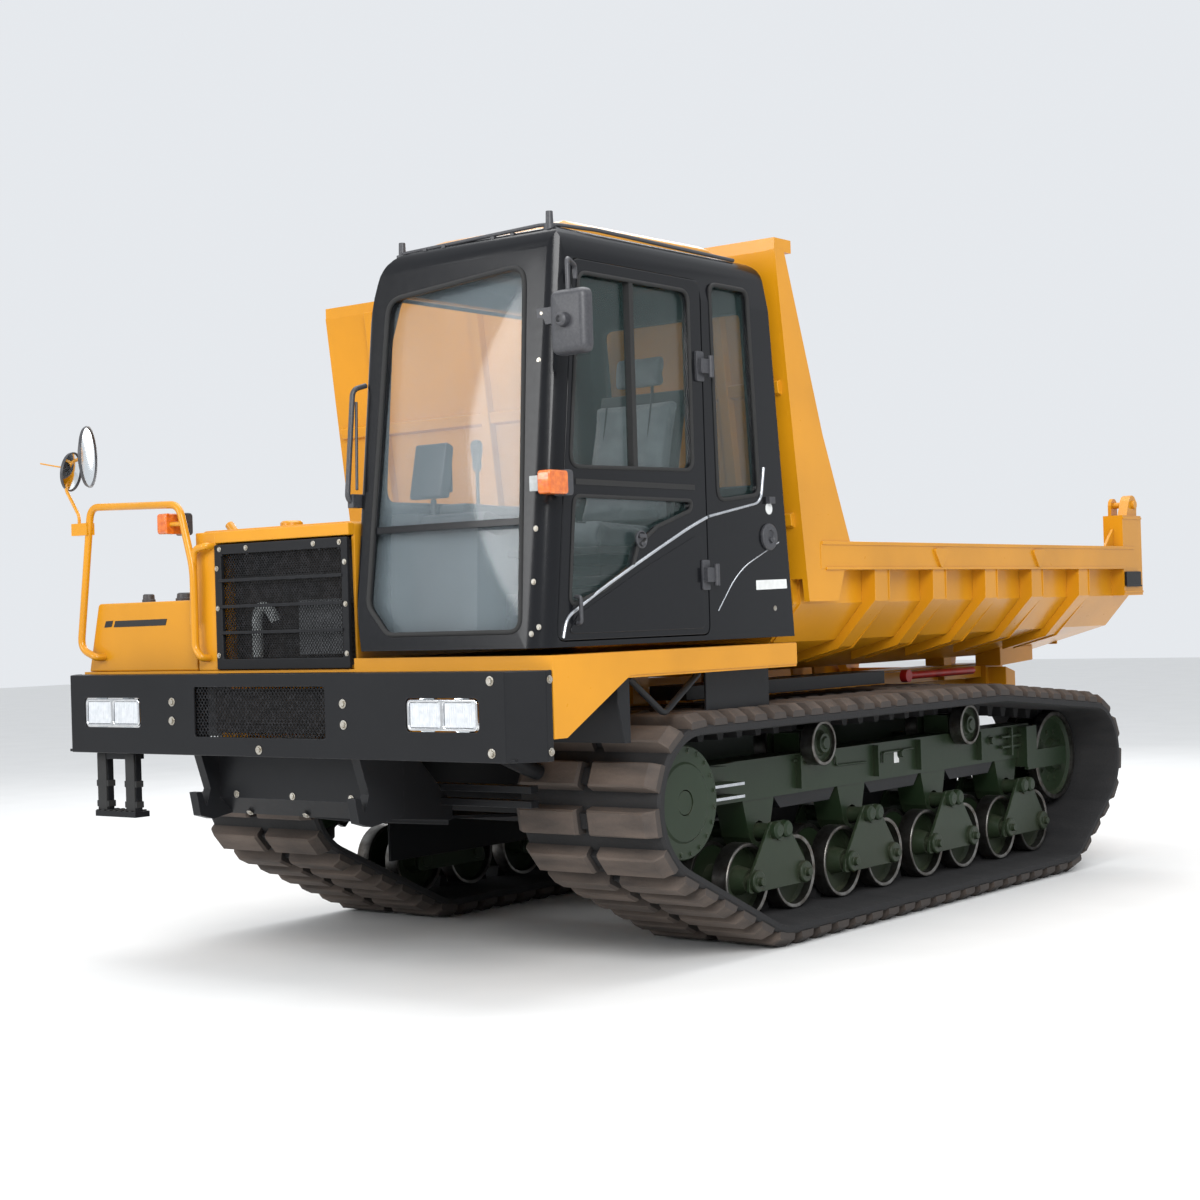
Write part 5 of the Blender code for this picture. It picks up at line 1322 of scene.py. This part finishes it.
# %% Lamp units
for word, x in (("left", 0.952), ("right", -0.987)):
    frame_outline = oblong((x - 0.180, x + 0.180), (1.046, 1.166), 0.022)
    holes = []
    for near in (-0.170, 0.008):
        holes.append(Piece().slab(oblong((x + near, x + near + 0.162), (1.057, 1.155), 0.014), -0.10, 0.020,
                                  axis="y"))
    bezel = Piece().slab(frame_outline, -0.0005, 0.030, axis="y")
    bezel.done(f"lamp_bezel_{word}", chrome, bevel=0.004, sides=3, instead=[f"headlamp_{word}"],
               cutters=holes)
    lens = Piece()
    for near in (-0.168, 0.010):
        a, b = x + near, x + near + 0.158
        count = 14
        wave = [(a + (b - a) * n / (count * 4), 0.0065 - 0.0022 * abs(math.sin(math.pi * n / 4)))
                for n in range(count * 4 + 1)]
        lens.slab(wave + [(b, 0.014), (a, 0.014)], 1.059, 1.153, axis="z")
        lens.bar((a + 0.079, 0.0045, 1.092), (a + 0.079, 0.0075, 1.092), 0.026, 24, 0.7)
    lens.done(f"lamp_glass_{word}", clear_lens, smooth=60)
    bowl = Piece()
    for near in (-0.089, 0.089):
        bowl.lathe([(0.0, 0.004), (0.0, 0.030), (0.012, 0.072), (0.016, 0.072), (0.006, 0.004)],
                   (x + near, 0.034, 1.106), (0, -1, 0), 32)
    bowl.block((x - 0.176, x + 0.176), (0.030, 0.036), (1.050, 1.162))
    bowl.done(f"lamp_bowl_{word}", mirror_glass)
print("lamp units made")

# %% [markdown]
# ## Guard and step
# Below the bumper a bolted guard protects what hangs under the frame, and a low step helps the driver up.
# The step hangs on rubber straps, because a rigid one would bend on the first stone.

# %% Guard, hooks and step details
details = Piece()
for x in (-0.38, -0.04, 0.30):
    details.bolt((x, 0.161, 0.755), (0, -1, 0), 0.011, 0.008)
    details.bolt((x + 0.02, 0.215, 0.673), (0, -0.6, -0.8), 0.011, 0.008)
details.done("guard_bolts", bolt_metal, bevel=0.001, sides=1)
straps = Piece()
for x in (-1.135, -0.945):
    for z in (0.790, 0.700):
        straps.block((x - 0.040, x + 0.040), (0.054, 0.096), (z - 0.014, z + 0.014))
    straps.slab(oblong((x - 0.030, x + 0.030), (0.66, 0.925), 0.008),
                0.052, 0.062, axis="y")
for n in range(7):
    straps.block((-1.165 + n * 0.037, -1.150 + n * 0.037), (0.040, 0.130), (0.6695, 0.675))
straps.done("step_straps", seal, bevel=0.004)
plates = Piece()
for side in (-0.503, 0.423):
    low, high = sorted((side, side + math.copysign(0.012, side)))
    plates.slab(rounded([(0.165, 0.925), (0.165, 0.742), (0.235, 0.668), (0.62, 0.630), (0.62, 0.70),
                         (0.40, 0.925)],
                        0.02), low, high)
for z in (0.700, 0.760):
    plates.block((-0.92, 0.92), (0.55, 0.60), (z, z + 0.03))
plates.tube([(-0.42, 0.30, 0.69), (-0.10, 0.55, 0.63), (0.20, 0.85, 0.60)], 0.022, 0.1)
plates.done("guard_sides", satin_black, bevel=0.003)
print("guard and step finished")

# %% [markdown]
# ## Engine hood and grille
# The hood is a pressed shell with a rounded top edge, held by flush latches, and the radiator behind it
# breathes through a bolted grille: a black frame, flat bars, and fine mesh with the radiator's hose and
# cooler seen through it.

# %% Hood
left_side, right_side = -0.585, 0.335
HOOD_TOP, HOOD_FRONT, HOOD_REAR, HOOD_SHEET = 1.880, 0.185, 1.600, 0.018
hood_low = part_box("engine_hood")[0].z
outline = rounded([(left_side, hood_low, 0.0), (left_side, HOOD_TOP), (right_side, HOOD_TOP),
                   (right_side, hood_low, 0.0)], 0.035, 6)
hood = Piece().slab(outline, HOOD_FRONT, HOOD_REAR, axis="y")
hollow = Piece().slab(shifted(outline, -HOOD_SHEET), HOOD_FRONT - 0.035, HOOD_REAR - HOOD_SHEET, axis="y")
hood.done("hood_shell", yellow, bevel=0.004, sides=3, instead=["engine_hood"], cutters=[hollow])
frame_piece = Piece().block((left_side, left_side + 0.125), (0.151, 0.189), (hood_low, 1.872))
frame_piece.block((left_side + 0.12, right_side), (0.151, 0.189), (1.822, 1.872))
frame_piece.done("hood_front_frame", yellow, bevel=0.005, sides=3)
seams = Piece()
seams.block((left_side - 0.0010, left_side + 0.002), (0.62, 0.624), (1.30, 1.86))
seams.block((left_side - 0.0010, left_side + 0.002), (1.20, 1.204), (1.30, 1.86))
for station in (0.75, 1.08):
    seams.slab(oblong((station, station + 0.10), (1.55, 1.61), 0.012),
               left_side - 0.004, left_side + 0.002)
for n in range(7):
    seams.slab(oblong((1.26, 1.53), (1.44 + n * 0.045, 1.462 + n * 0.045), 0.010), left_side - 0.003,
               left_side + 0.002)
seams.done("hood_latches", housing, bevel=0.0015)
cap = Piece().lathe([(0.0, 0.001), (0.0, 0.060), (0.012, 0.060), (0.012, 0.052), (0.040, 0.050),
                     (0.048, 0.040), (0.048, 0.001)], (-0.480, 0.62, HOOD_TOP), (0, 0, 1), 36)
cap.done("hood_cap", yellow, bevel=0.002)
print("hood pressed")

# %% [markdown]
# ## Grille
# The grille could be one textured plate. It is made as a cut frame with flat bars across it, so that the
# depth between bars and mesh is true from every side.

# %% Grille frame and bars
left, right_edge = left_side + 0.128, right_side
base, head = hood_low + 0.004, 1.815
inner = oblong((left + 0.042, right_edge - 0.035), (base + 0.045, head - 0.042), 0.010)
grille = Piece().slab(oblong((left, right_edge), (base, head), 0.008), 0.140, 0.158, axis="y")
grille.done("grille_frame", satin_black, bevel=0.004, sides=3, instead=["radiator_grille"],
            cutters=[Piece().slab(inner, 0.10, 0.20, axis="y")])
bars = Piece()
for n in range(1, 4):
    z = base + 0.045 + (head - base - 0.087) * n / 4
    bars.block((left + 0.030, right_edge - 0.030), (0.134, 0.150), (z - 0.007, z + 0.007))
for x in (left + 0.042, left + 0.20, right_edge - 0.16, right_edge - 0.05):
    bars.block((x, x + 0.012), (0.136, 0.142), (head - 0.05, head - 0.042))
bars.done("grille_bars", satin_black, bevel=0.002)
print("grille frame and bars made")

# %% [markdown]
# ## Radiator behind the grille
# Through the mesh the eye finds the radiator's fins, a charge cooler and a hose. They are made simply,
# since the mesh hides most of them; what counts is that light falls past the mesh on to something.

# %% Radiator behind the grille
mesh = lattice((left + 0.03, right_edge - 0.03), (base + 0.03, head - 0.03), 0.162, 0.016, 0.0017)
mesh.done("grille_mesh", satin_black)
behind = Piece()
behind.block((left + 0.02, right_edge - 0.02), (0.240, 0.260), (base, head))
for n in range(26):
    behind.block((left + 0.02, right_edge - 0.02), (0.232, 0.241),
                 (base + 0.010 + n * 0.0195, base + 0.016 + n * 0.0195))
# The radiator core's near-black is partly painted shade behind the grille.
behind.done("radiator_core", shaded_core, bevel=0.0008, sides=1)
cooler = Piece().slab(oblong((0.000, 0.255), (base + 0.055, base + 0.285), 0.012), 0.185, 0.225, axis="y")
cooler.done("charge_cooler", trim_grey, bevel=0.004)
hose = Piece().tube([(-0.270, 0.205, base + 0.05), (-0.265, 0.200, base + 0.22),
                     (-0.235, 0.200, base + 0.270), (-0.190, 0.215, base + 0.240),
                     (-0.180, 0.225, base + 0.20)], 0.023, 0.05, 16)
hose.done("radiator_hose", pale_grey)
heads = Piece()
for x in (left + 0.035, left + 0.20, right_edge - 0.19, right_edge - 0.04):
    heads.bolt((x, 0.140, head - 0.020), (0, -1, 0), 0.008, 0.007)
for z in (base + 0.06, base + 0.26, base + 0.43):
    heads.bolt((left + 0.016, 0.140, z), (0, -1, 0), 0.008, 0.007)
    heads.bolt((right_edge - 0.014, 0.140, z), (0, -1, 0), 0.008, 0.007)
heads.done("grille_bolts", bolt_metal, bevel=0.0008, sides=1)
print("radiator, cooler and hose set behind the mesh")

# %% [markdown]
# ## Tank, handrail and right-hand mirrors
# The tank is folded sheet with a chamfered outer edge and two caps. The handrail is one bent tube, and
# the round mirrors stand on a thin bent wire clamped to it, so they turn about its upright.

# %% Tank
tank_low, tank_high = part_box("fluid_tank")
outline = rounded([(tank_low.x, tank_low.z, 0.0), (tank_high.x, tank_low.z, 0.0), (tank_high.x, 1.585, 0.012),
                   (tank_low.x + 0.075, 1.585, 0.020)], 0.03)
tank = Piece().slab(outline, 0.155, 0.800, axis="y")
tank.done("tank_shell", yellow, bevel=0.008, sides=3, instead=["fluid_tank"])
caps = Piece()
for x, station, radius in ((-1.080, 0.300, 0.030), (-0.860, 0.330, 0.048)):
    caps.lathe([(0.0, 0.001), (0.0, radius), (0.014, radius), (0.014, radius * 0.9), (0.034, radius * 0.85),
                (0.038, radius * 0.7), (0.038, 0.001)], (x, station, 1.585), (0, 0, 1), 28)
caps.done("tank_caps", housing, bevel=0.0015)
stripe = Piece()
for n, (a, b) in enumerate(((-1.215, -1.165), (-1.150, -0.800))):
    stripe.slab([(a, 1.478), (b, 1.480), (b + 0.012, 1.508), (a + 0.012, 1.506)], 0.1535, 0.1555, axis="y")
stripe.done("tank_stripe", seal)
print("tank folded")

# %% [markdown]
# ## Handrail
# One steel tube is bent round the tank and welded at its ends, and a short post stands by the filler.
# The tube is drawn through its bends, with the bend radius given once for all of them.

# %% Handrail
at = 0.112
rail = Piece()
rail.tube([(-1.225, 0.156, 1.345), (-1.225, at, 1.345), (-1.330, at, 1.385), (-1.235, at, 2.018),
           (-0.640, at, 1.998), (-0.560, at, 1.720), (-0.560, at, 1.372), (-0.520, at, 1.335),
           (-0.520, 0.152, 1.335)], 0.0165, 0.055, 16,
          steps=8)
rail.tube([(-0.480, 0.152, 1.812), (-0.480, at, 1.812), (-0.562, at + 0.006, 1.800),
           (-0.575, at + 0.006, 1.480)],
          0.0150, 0.05, 16)
rail.block((-1.348, -1.240), (at - 0.022, at + 0.022), (1.895, 1.949))
rail.tube([(-0.615, at, 1.915), (-0.690, at - 0.005, 1.915)], 0.010)
rail.done("handrail_tube", yellow, bevel=0.003, sides=2, instead=["handrail"], smooth=40)
post = Piece().tube([(-0.640, 0.45, 1.56), (-0.640, 0.45, 1.86), (-0.700, 0.45, 1.92)], 0.020, 0.06, 16)
post.block((-0.672, -0.608), (0.42, 0.48), (1.5845, 1.592))
post.done("filler_post", yellow, bevel=0.002)
print("handrail bent")

# %% [markdown]
# ## Round mirrors
# A large and a small convex mirror share one wire arm, and the driver turns them together. A convex glass
# shows a wide field, so its face is turned on the lathe as a shallow dome.

# %% Round mirrors
x, station, z = pivot("round_mirror_turn")
wire = Piece().tube([(x, station, z + 0.0006), (x, station, 1.985), (-1.412, station, 2.115),
                     (-1.395, station + 0.02, 2.230), (-1.350, station + 0.035, 2.246)], 0.0075, 0.03, 12)
wire.tube([(-1.405, station + 0.02, 2.205), (-1.500, station + 0.01, 2.222),
           (-1.5985, station + 0.01, 2.240)], 0.0035, 0.02, 8)
wire.done("mirror_wire", yellow, "round_mirror", instead=["round_mirror"])
for name, spot, toward, radius in (("mirror_large", (-1.306, 0.158, 2.252), (0.80, 0.60, 0.0), 0.140),
                                   ("mirror_small", (-1.418, 0.150, 2.192), (0.90, 0.40, -0.15), 0.090)):
    dish = Piece().lathe([(-0.030, 0.001), (-0.024, radius * 0.55), (-0.006, radius * 0.96), (0.004, radius),
                          (0.009, radius), (0.009, radius * 0.955), (0.003, radius * 0.93), (0.003, 0.001)],
                         spot, toward, 48)
    dish.done(name + "_shell", housing, "round_mirror")
    bulge = [(0.003, radius * 0.935)] + [(0.004 + 0.012 * (1 - share ** 2), max(0.001, radius * 0.93 * share))
                                        for share in (1.0, 0.8, 0.6, 0.4, 0.2, 0.0)] + [(0.003, 0.001)]
    Piece().lathe(bulge, spot, toward, 48).done(name + "_glass", mirror_glass, "round_mirror")
print("round mirrors made")

# %% [markdown]
# ## Dump body details
# The trough's ribs are folded channels with a gusset where they meet the rail. The body also carries a
# plate box at the tail, a three-cornered stiffener on two ribs and a grid of stiffeners on the headboard.
# They are welded on, so they ride on the body that tips.

# %% Ribs, gussets and rails
RIBS = (2.600, 3.150, 3.690, 4.210, 4.780)
edge = 1.379
welded = Piece()
for flip in (1, -1):
    for n, station in enumerate(RIBS):
        low, high = sorted((flip * (edge - 0.090), flip * (edge - 0.004)))
        for side in (-0.069, 0.063):
            a, b = sorted((station + side, station + side + 0.006))
            outline = [(flip * 1.30, 1.640), (flip * (edge - 0.004), 1.640), (flip * (edge - 0.006), 1.500),
                       (flip * 1.165, 1.278), (flip * 0.90, 1.208), (flip * 0.90, 1.246),
                       (flip * 1.151, 1.318), (flip * 1.302, 1.490)]
            welded.slab(outline, a, b, axis="y")
        if n in (1, 3):
            tab = rounded([(station - 0.075, 1.742), (station + 0.075, 1.742), (station, 1.640)], 0.018)
            welded.slab(tab, *sorted((flip * (edge - 0.002), flip * (edge + 0.012))))
    welded.slab(oblong((2.10, 5.30), (1.640, 1.652), 0.002),
                *sorted((flip * 1.27, flip * (edge + 0.006))))
    welded.slab(oblong((2.07, 5.44), (1.752, 1.768), 0.004),
                *sorted((flip * 1.252, flip * (edge + 0.005))))
    welded.slab(rounded([(5.170, 1.764), (5.300, 1.764), (5.300, 1.880)], 0.012),
                *sorted((flip * 1.31, flip * 1.325)))
    for z in (1.51, 1.93):
        welded.slab([(5.298, z - 0.006), (5.551, z - 0.006), (5.551, z + 0.006), (5.298, z + 0.006)],
                    *sorted((flip * 1.262, flip * (edge + 0.004))))
    welded.bar((flip * 1.296, 5.496, 2.010), (flip * 1.372, 5.496, 2.010), 0.024, 24)
welded.done("body_ribs", yellow, "dump_body", bevel=0.003)
print("ribs and gussets welded")

# %% [markdown]
# ## Headboard and tail
# A loaded trough pushes on its headboard, so folded stiffeners cross it in a grid, tapering towards their
# outer face. They are skinned between two ends and lean with the board. The tailgate has ribs of its own.

# %% Headboard stiffeners and tail fittings
LEAN, BOARD = -0.130, 2.000


def board_at(z):
    return BOARD + (z - 1.170) * LEAN


stiff = Piece()
for x in (-1.05, -0.35, 0.35, 1.05):
    channel = ((-0.035, 0.004), (0.035, 0.004), (0.025, -0.034), (-0.025, -0.034))
    stiff.loops([[place(x + wide, board_at(z) + out, z) for wide, out in channel] for z in (1.50, 3.03)])
for z in (1.86, 2.44):
    channel = ((-0.035, 0.004), (0.035, 0.004), (0.025, -0.026), (-0.025, -0.026))
    stiff.loops([[place(x, board_at(z + up) + out, z + up) for up, out in channel] for x in (-1.34, 1.34)])
stiff.done("headboard_stiffeners", yellow, "dump_body", bevel=0.004)
fittings = Piece()
fittings.slab(oblong((5.300, 5.500), (1.545, 1.625), 0.008), edge + 0.001, edge + 0.014)
fittings.block((edge + 0.012, edge + 0.016), (5.292, 5.508), (1.538, 1.548))
fittings.done("plate_box", satin_black, "dump_body", bevel=0.002)
gate = Piece()
for x in (-0.8, -0.27, 0.27, 0.8):
    gate.slab([(x - 0.035, 1.215), (x + 0.035, 1.215), (x + 0.035, 1.69), (x - 0.035, 1.69)], 5.536, 5.550,
              axis="y")
gate.slab(oblong((-1.24, 1.24), (1.668, 1.704), 0.008), 5.495, 5.545, axis="y")
gate.done("gate_ribs", yellow, "tailgate", bevel=0.004)
print("headboard and tail fitted")

# %% [markdown]
# ## What shows under the bed
# Between belt and bed the eye finds the chassis rails, a long dark service box, the red body prop that
# a fitter swings up before working under the raised bed, and the hydraulic hoses to the cylinder.

# %% Rails, boxes and scrapers
under = Piece()
for flip in (1, -1):
    under.block(sorted((flip * 0.82, flip * 1.02)), (1.50, 3.20), (1.085, 1.148))
    # Black plates just inside the belts close the open frame: dark sheets that paint the shade under the
    # machine.
    under.block(sorted((flip * 0.588, flip * 0.600)), (1.30, 4.70), (0.33, 0.64))
    under.slab([(1.32, 1.02), (1.80, 1.02), (1.80, 1.23), (1.32, 1.23)], *sorted((flip * 1.24, flip * 1.252)))
    under.slab([(0.62, 1.12), (0.66, 0.96), (0.70, 0.96), (0.70, 1.23), (0.62, 1.23)],
               *sorted((flip * 0.80, flip * 1.32)))
    under.tube([(flip * 1.30, 0.72, 1.215), (flip * 1.30, 0.95, 1.06), (flip * 1.30, 1.20, 1.215)], 0.014,
               0.03)
    under.tube([(flip * 0.60, 0.50, 1.0), (flip * 0.72, 0.72, 0.86), (flip * 0.80, 1.0, 0.74)], 0.034, 0.1,
               16)
    for n in range(4):
        at = pivot(f"bogie_left_{n + 1}_rock")[1]
        ends = (at + 0.13, at + 0.675) if n < 3 else (at + 0.13, at + 0.40)
        under.slab([(ends[0], 0.622), (ends[1], 0.622), (ends[1] - 0.06, 0.560), (ends[0] + 0.06, 0.560)],
                   *sorted((flip * 0.93, flip * 1.052)))
under.block((-0.90, 0.90), (1.30, 1.34), (0.55, 0.95))
under.done("chassis_dark", satin_black, bevel=0.003)
print("rails and boxes made")

# %% [markdown]
# ## Beams and bed pads
# The yellow beams run back to the tipping hinge. The bed rests on pads that are welded to it,
# so the pads leave with the bed when it tips.

# %% Beams and bed pads
beams = Piece()
for flip in (1, -1):
    beams.block(sorted((flip * 0.575, flip * 0.66)), (1.84, 5.02), (1.045, 1.112))
    beams.slab([(4.945, 0.98), (5.06, 0.99), (5.06, 1.075), (4.945, 1.105)],
               *sorted((flip * 0.64, flip * 0.80)))
    for station in (2.0, 4.40):
        beams.block(sorted((flip * 0.655, flip * 0.70)), (station, station + 0.03), (1.05, 1.112))
beams.done("chassis_beams", yellow, bevel=0.004)
ears = Piece()
for flip in (1, -1):
    ears.slab([(4.92, 1.110), (5.33, 1.130), (5.33, 1.215), (4.92, 1.215)],
              *sorted((flip * 0.62, flip * 0.78)))
    for station in (2.35, 4.55):
        ears.block(sorted((flip * 0.50, flip * 0.62)), (station, station + 0.09), (1.124, 1.178))
ears.done("bed_pads", yellow, "dump_body", bevel=0.004)
print("beams and pads made")

# %% [markdown]
# ## Body prop and hoses
# The prop is painted red so that nobody overlooks it. The hoses are bent tubes; they could be simulated,
# but short stiff hoses hold the shape that their fittings give them.

# %% Body prop and hoses
prop = Piece()
for flip in (1, -1):
    prop.bar((flip * 0.80, 3.790, 1.098), (flip * 0.80, 4.540, 1.098), 0.020, 16)
    prop.lathe([(-0.02, 0.001), (-0.02, 0.034), (0.02, 0.034), (0.02, 0.001)], (flip * 0.80, 3.80, 1.098),
               (1, 0, 0), 24)
prop.done("body_prop", red_paint, bevel=0.002)
hoses = Piece()
for lift, x in ((0.0, 0.16), (0.03, 0.20), (0.0, -0.16)):
    hoses.tube([(x, 1.45, 0.90 + lift), (x, 2.05, 0.88 + lift), (x * 0.9, 2.30, 0.78 + lift),
                (x * 0.65, 2.62, 0.80 + lift)],
               0.013, 0.12, 10)
hoses.done("hoist_hoses", seal)
print("prop and hoses laid")

# %% [markdown]
# ## Inside the cab
# The seat shows clearly through the glass, so it is upholstered properly. A cushion is foam under a
# stretched cover: it is crowned, and its sides pull in between the corners. A short cloth simulation
# with a little inner pressure finds that shape, and a cap on how far any point may move keeps the pad
# inside the room that the CAD seat gives it.

# %% A pad blown up as cloth
MID = 0.860


def upholstered(name, outline, half, cap=0.024):
    """A block about the seat's middle: remeshed, blown up as cloth for 20 frames and capped."""
    pad = bpy.data.objects.new(name,
                               Piece().slab(rounded(outline, 0.03, 3), MID - half, MID + half).mesh(name))
    bpy.context.scene.collection.objects.link(pad)
    grid = pad.modifiers.new("grid", "REMESH")
    grid.mode, grid.voxel_size = "VOXEL", 0.010
    bpy.context.view_layer.update()
    pad.data = bpy.data.meshes.new_from_object(pad.evaluated_get(bpy.context.evaluated_depsgraph_get()))
    pad.modifiers.clear()
    start = [v.co.copy() for v in pad.data.vertices]
    blow = pad.modifiers.new("cloth", "CLOTH")
    blow.settings.use_pressure, blow.settings.uniform_pressure_force = True, 4.0
    blow.settings.effector_weights.gravity = 0.0
    blow.settings.quality = 5
    for step in range(1, 21):
        bpy.context.scene.frame_set(step)
    blown = bpy.data.meshes.new_from_object(pad.evaluated_get(bpy.context.evaluated_depsgraph_get()))
    pad.modifiers.clear()
    bpy.context.scene.frame_set(1)
    for vertex, was in zip(blown.vertices, start):
        move = vertex.co - was
        if move.length > cap:
            vertex.co = was + move * (cap / move.length)
    pad.data = blown
    pad.data.materials.clear()
    pad.data.materials.append(cloth.material)
    pad.data.shade_smooth()
    pad.modifiers.new("soften", "SUBSURF").levels = 1
    pad.modifiers["soften"].render_levels = 1
    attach(pad, "seat")
    return pad


print("pads are", "blown up", "in this run")

# %% [markdown]
# ## Cushion, backrest and headrest
# Each pad is an outline seen from the side, given half its width across the seat. The seat's middle was
# named once, and every piece of the seat is set out from it.

# %% Three pads
upholstered("seat_cushion", [(0.815, 1.755), (1.285, 1.745), (1.285, 1.815), (0.830, 1.835)], 0.225)
upholstered("seat_backrest", [(1.252, 1.840), (1.335, 1.840), (1.455, 2.400), (1.395, 2.400)], 0.215)
upholstered("seat_headrest", [(1.412, 2.455), (1.470, 2.455), (1.482, 2.585), (1.430, 2.585)], 0.115, 0.016)
print("cushion, backrest and headrest made")

# %% [markdown]
# ## Seat frame and seams
# Under the pads there is a pressed pan and back, a bellows that hides the suspension, and two bars for the
# headrest. Piping covers the seams, which is cord inside cloth, so it is drawn as a thin tube.

# %% Seat frame and seams
seat_frame = Piece()
seat_frame.slab(rounded([(1.320, 1.83), (1.345, 1.83), (1.488, 2.43), (1.462, 2.43)], 0.01), MID - 0.225,
                MID + 0.225)
seat_frame.slab(rounded([(0.80, 1.718), (1.33, 1.718), (1.35, 1.79), (1.33, 1.80), (1.26, 1.748),
                         (0.80, 1.748)], 0.012),
                MID - 0.240, MID + 0.240)
for x in (MID - 0.06, MID + 0.06):
    seat_frame.bar((x, 1.452, 2.36), (x, 1.455, 2.50), 0.007, 14)
for n in range(6):
    grow = 0.012 * (n % 2)
    seat_frame.slab(oblong((0.93 - grow, 1.27 + grow), (1.45 + n * 0.045, 1.495 + n * 0.045), 0.02),
                    MID - 0.15 - grow, MID + 0.15 + grow)
seat_frame.block((MID - 0.17, MID + 0.17), (0.92, 1.27), (1.401, 1.45))
seat_frame.done("seat_frame", piping, "seat", bevel=0.004, instead=["seat"])
seams = Piece()
for x in (MID - 0.120, MID + 0.120):
    seams.tube([(x, 0.825, 1.852), (x, 1.24, 1.842)], 0.004, 0.02, 8)
    seams.tube([(x, 1.262, 1.90), (x, 1.360, 2.37)], 0.004, 0.02, 8)
seams.done("seat_seams", piping, "seat")
print("seat framed and piped")

# %% [markdown]
# ## Dashboard and monitor
# The console is moulded, with generous corners that a driver's knee can brush. The monitor is a dark,
# unlit plate, and four knobs stand in a row below it.

# %% Dashboard and monitor
inside = Piece()
inside.slab(rounded([(0.335, 1.835, 0.01), (0.480, 1.800, 0.01), (0.520, 1.845, 0.02), (0.350, 1.900)], 0.03),
            0.43, 0.90)
inside.slab(rounded([(0.60, 1.900), (1.10, 1.900), (1.10, 1.935), (0.62, 1.950)], 0.02), 0.418, 0.552)
inside.slab(rounded([(0.370, 1.96), (0.430, 1.96), (0.465, 2.17), (0.420, 2.19)], 0.015), 0.470, 0.640)
inside.tube([(0.56, 0.42, 1.84), (0.56, 0.42, 1.96)], 0.012)
inside.done("dashboard", housing, bevel=0.006, sides=3)
screen = Piece().slab(oblong((0.480, 0.630), (1.985, 2.150), 0.008),
                      0.455, 0.462, axis="y")
for n in range(4):
    screen.lathe([(0.0, 0.001), (0.0, 0.018), (0.004, 0.018), (0.004, 0.001)],
                 (0.60 + n * 0.06, 0.495, 1.845), (0, 0.4, 1), 20)
screen.done("monitor", seal, bevel=0.002)
print("dashboard and monitor made")

# %% [markdown]
# ## Pedals and mat
# Two hinged pedals stand on short posts over a rubber mat. They are seen only through the lower glass, so
# plain plates are enough.

# %% Pedals and mat
pedals = Piece()
for x in (0.78, 0.90):
    pedals.slab(rounded([(0.560, 1.470), (0.575, 1.460), (0.640, 1.555), (0.625, 1.565)], 0.004), x - 0.04,
                x + 0.04)
    pedals.tube([(x, 0.60, 1.401), (x, 0.60, 1.50)], 0.010)
pedals.block((0.56, 1.30), (0.42, 1.60), (1.4005, 1.406))
pedals.done("pedals_and_mat", seal, bevel=0.003)
print("pedals and mat laid")

# %% [markdown]
# ## Travel lever and gaiter
# The stick rocks in the console with a moulded grip on top. A pleated rubber gaiter closes the slot at its
# foot. One end of it is fixed to the console and the other to the stick; the gaiter is made where it
# stands and rides on neither body.

# %% Travel lever and gaiter
x, station, z = pivot("travel_lever_tilt")
lever = Piece().bar((x, station, z + 0.01), (x, station, 2.10), 0.008, 16)
lever.lathe([(0.0, 0.001), (0.0, 0.014), (0.02, 0.020), (0.05, 0.019), (0.08, 0.025), (0.115, 0.026),
             (0.130, 0.018), (0.135, 0.001)], (x, station, 2.090), (0, 0, 1), 28)
lever.done("lever_grip", seal, "travel_lever", instead=["travel_lever"])
boot = Piece().lathe([(0.0, 0.012), (0.0, 0.060), (0.012, 0.052), (0.016, 0.056), (0.028, 0.040),
                      (0.032, 0.044), (0.046, 0.026), (0.050, 0.012)], (x, station, 1.902), (0, 0, 1), 28)
gaiter = boot.done("lever_boot", seal, None)
place(x, station, 1.902)
place(x, station, 1.948)
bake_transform(gaiter)
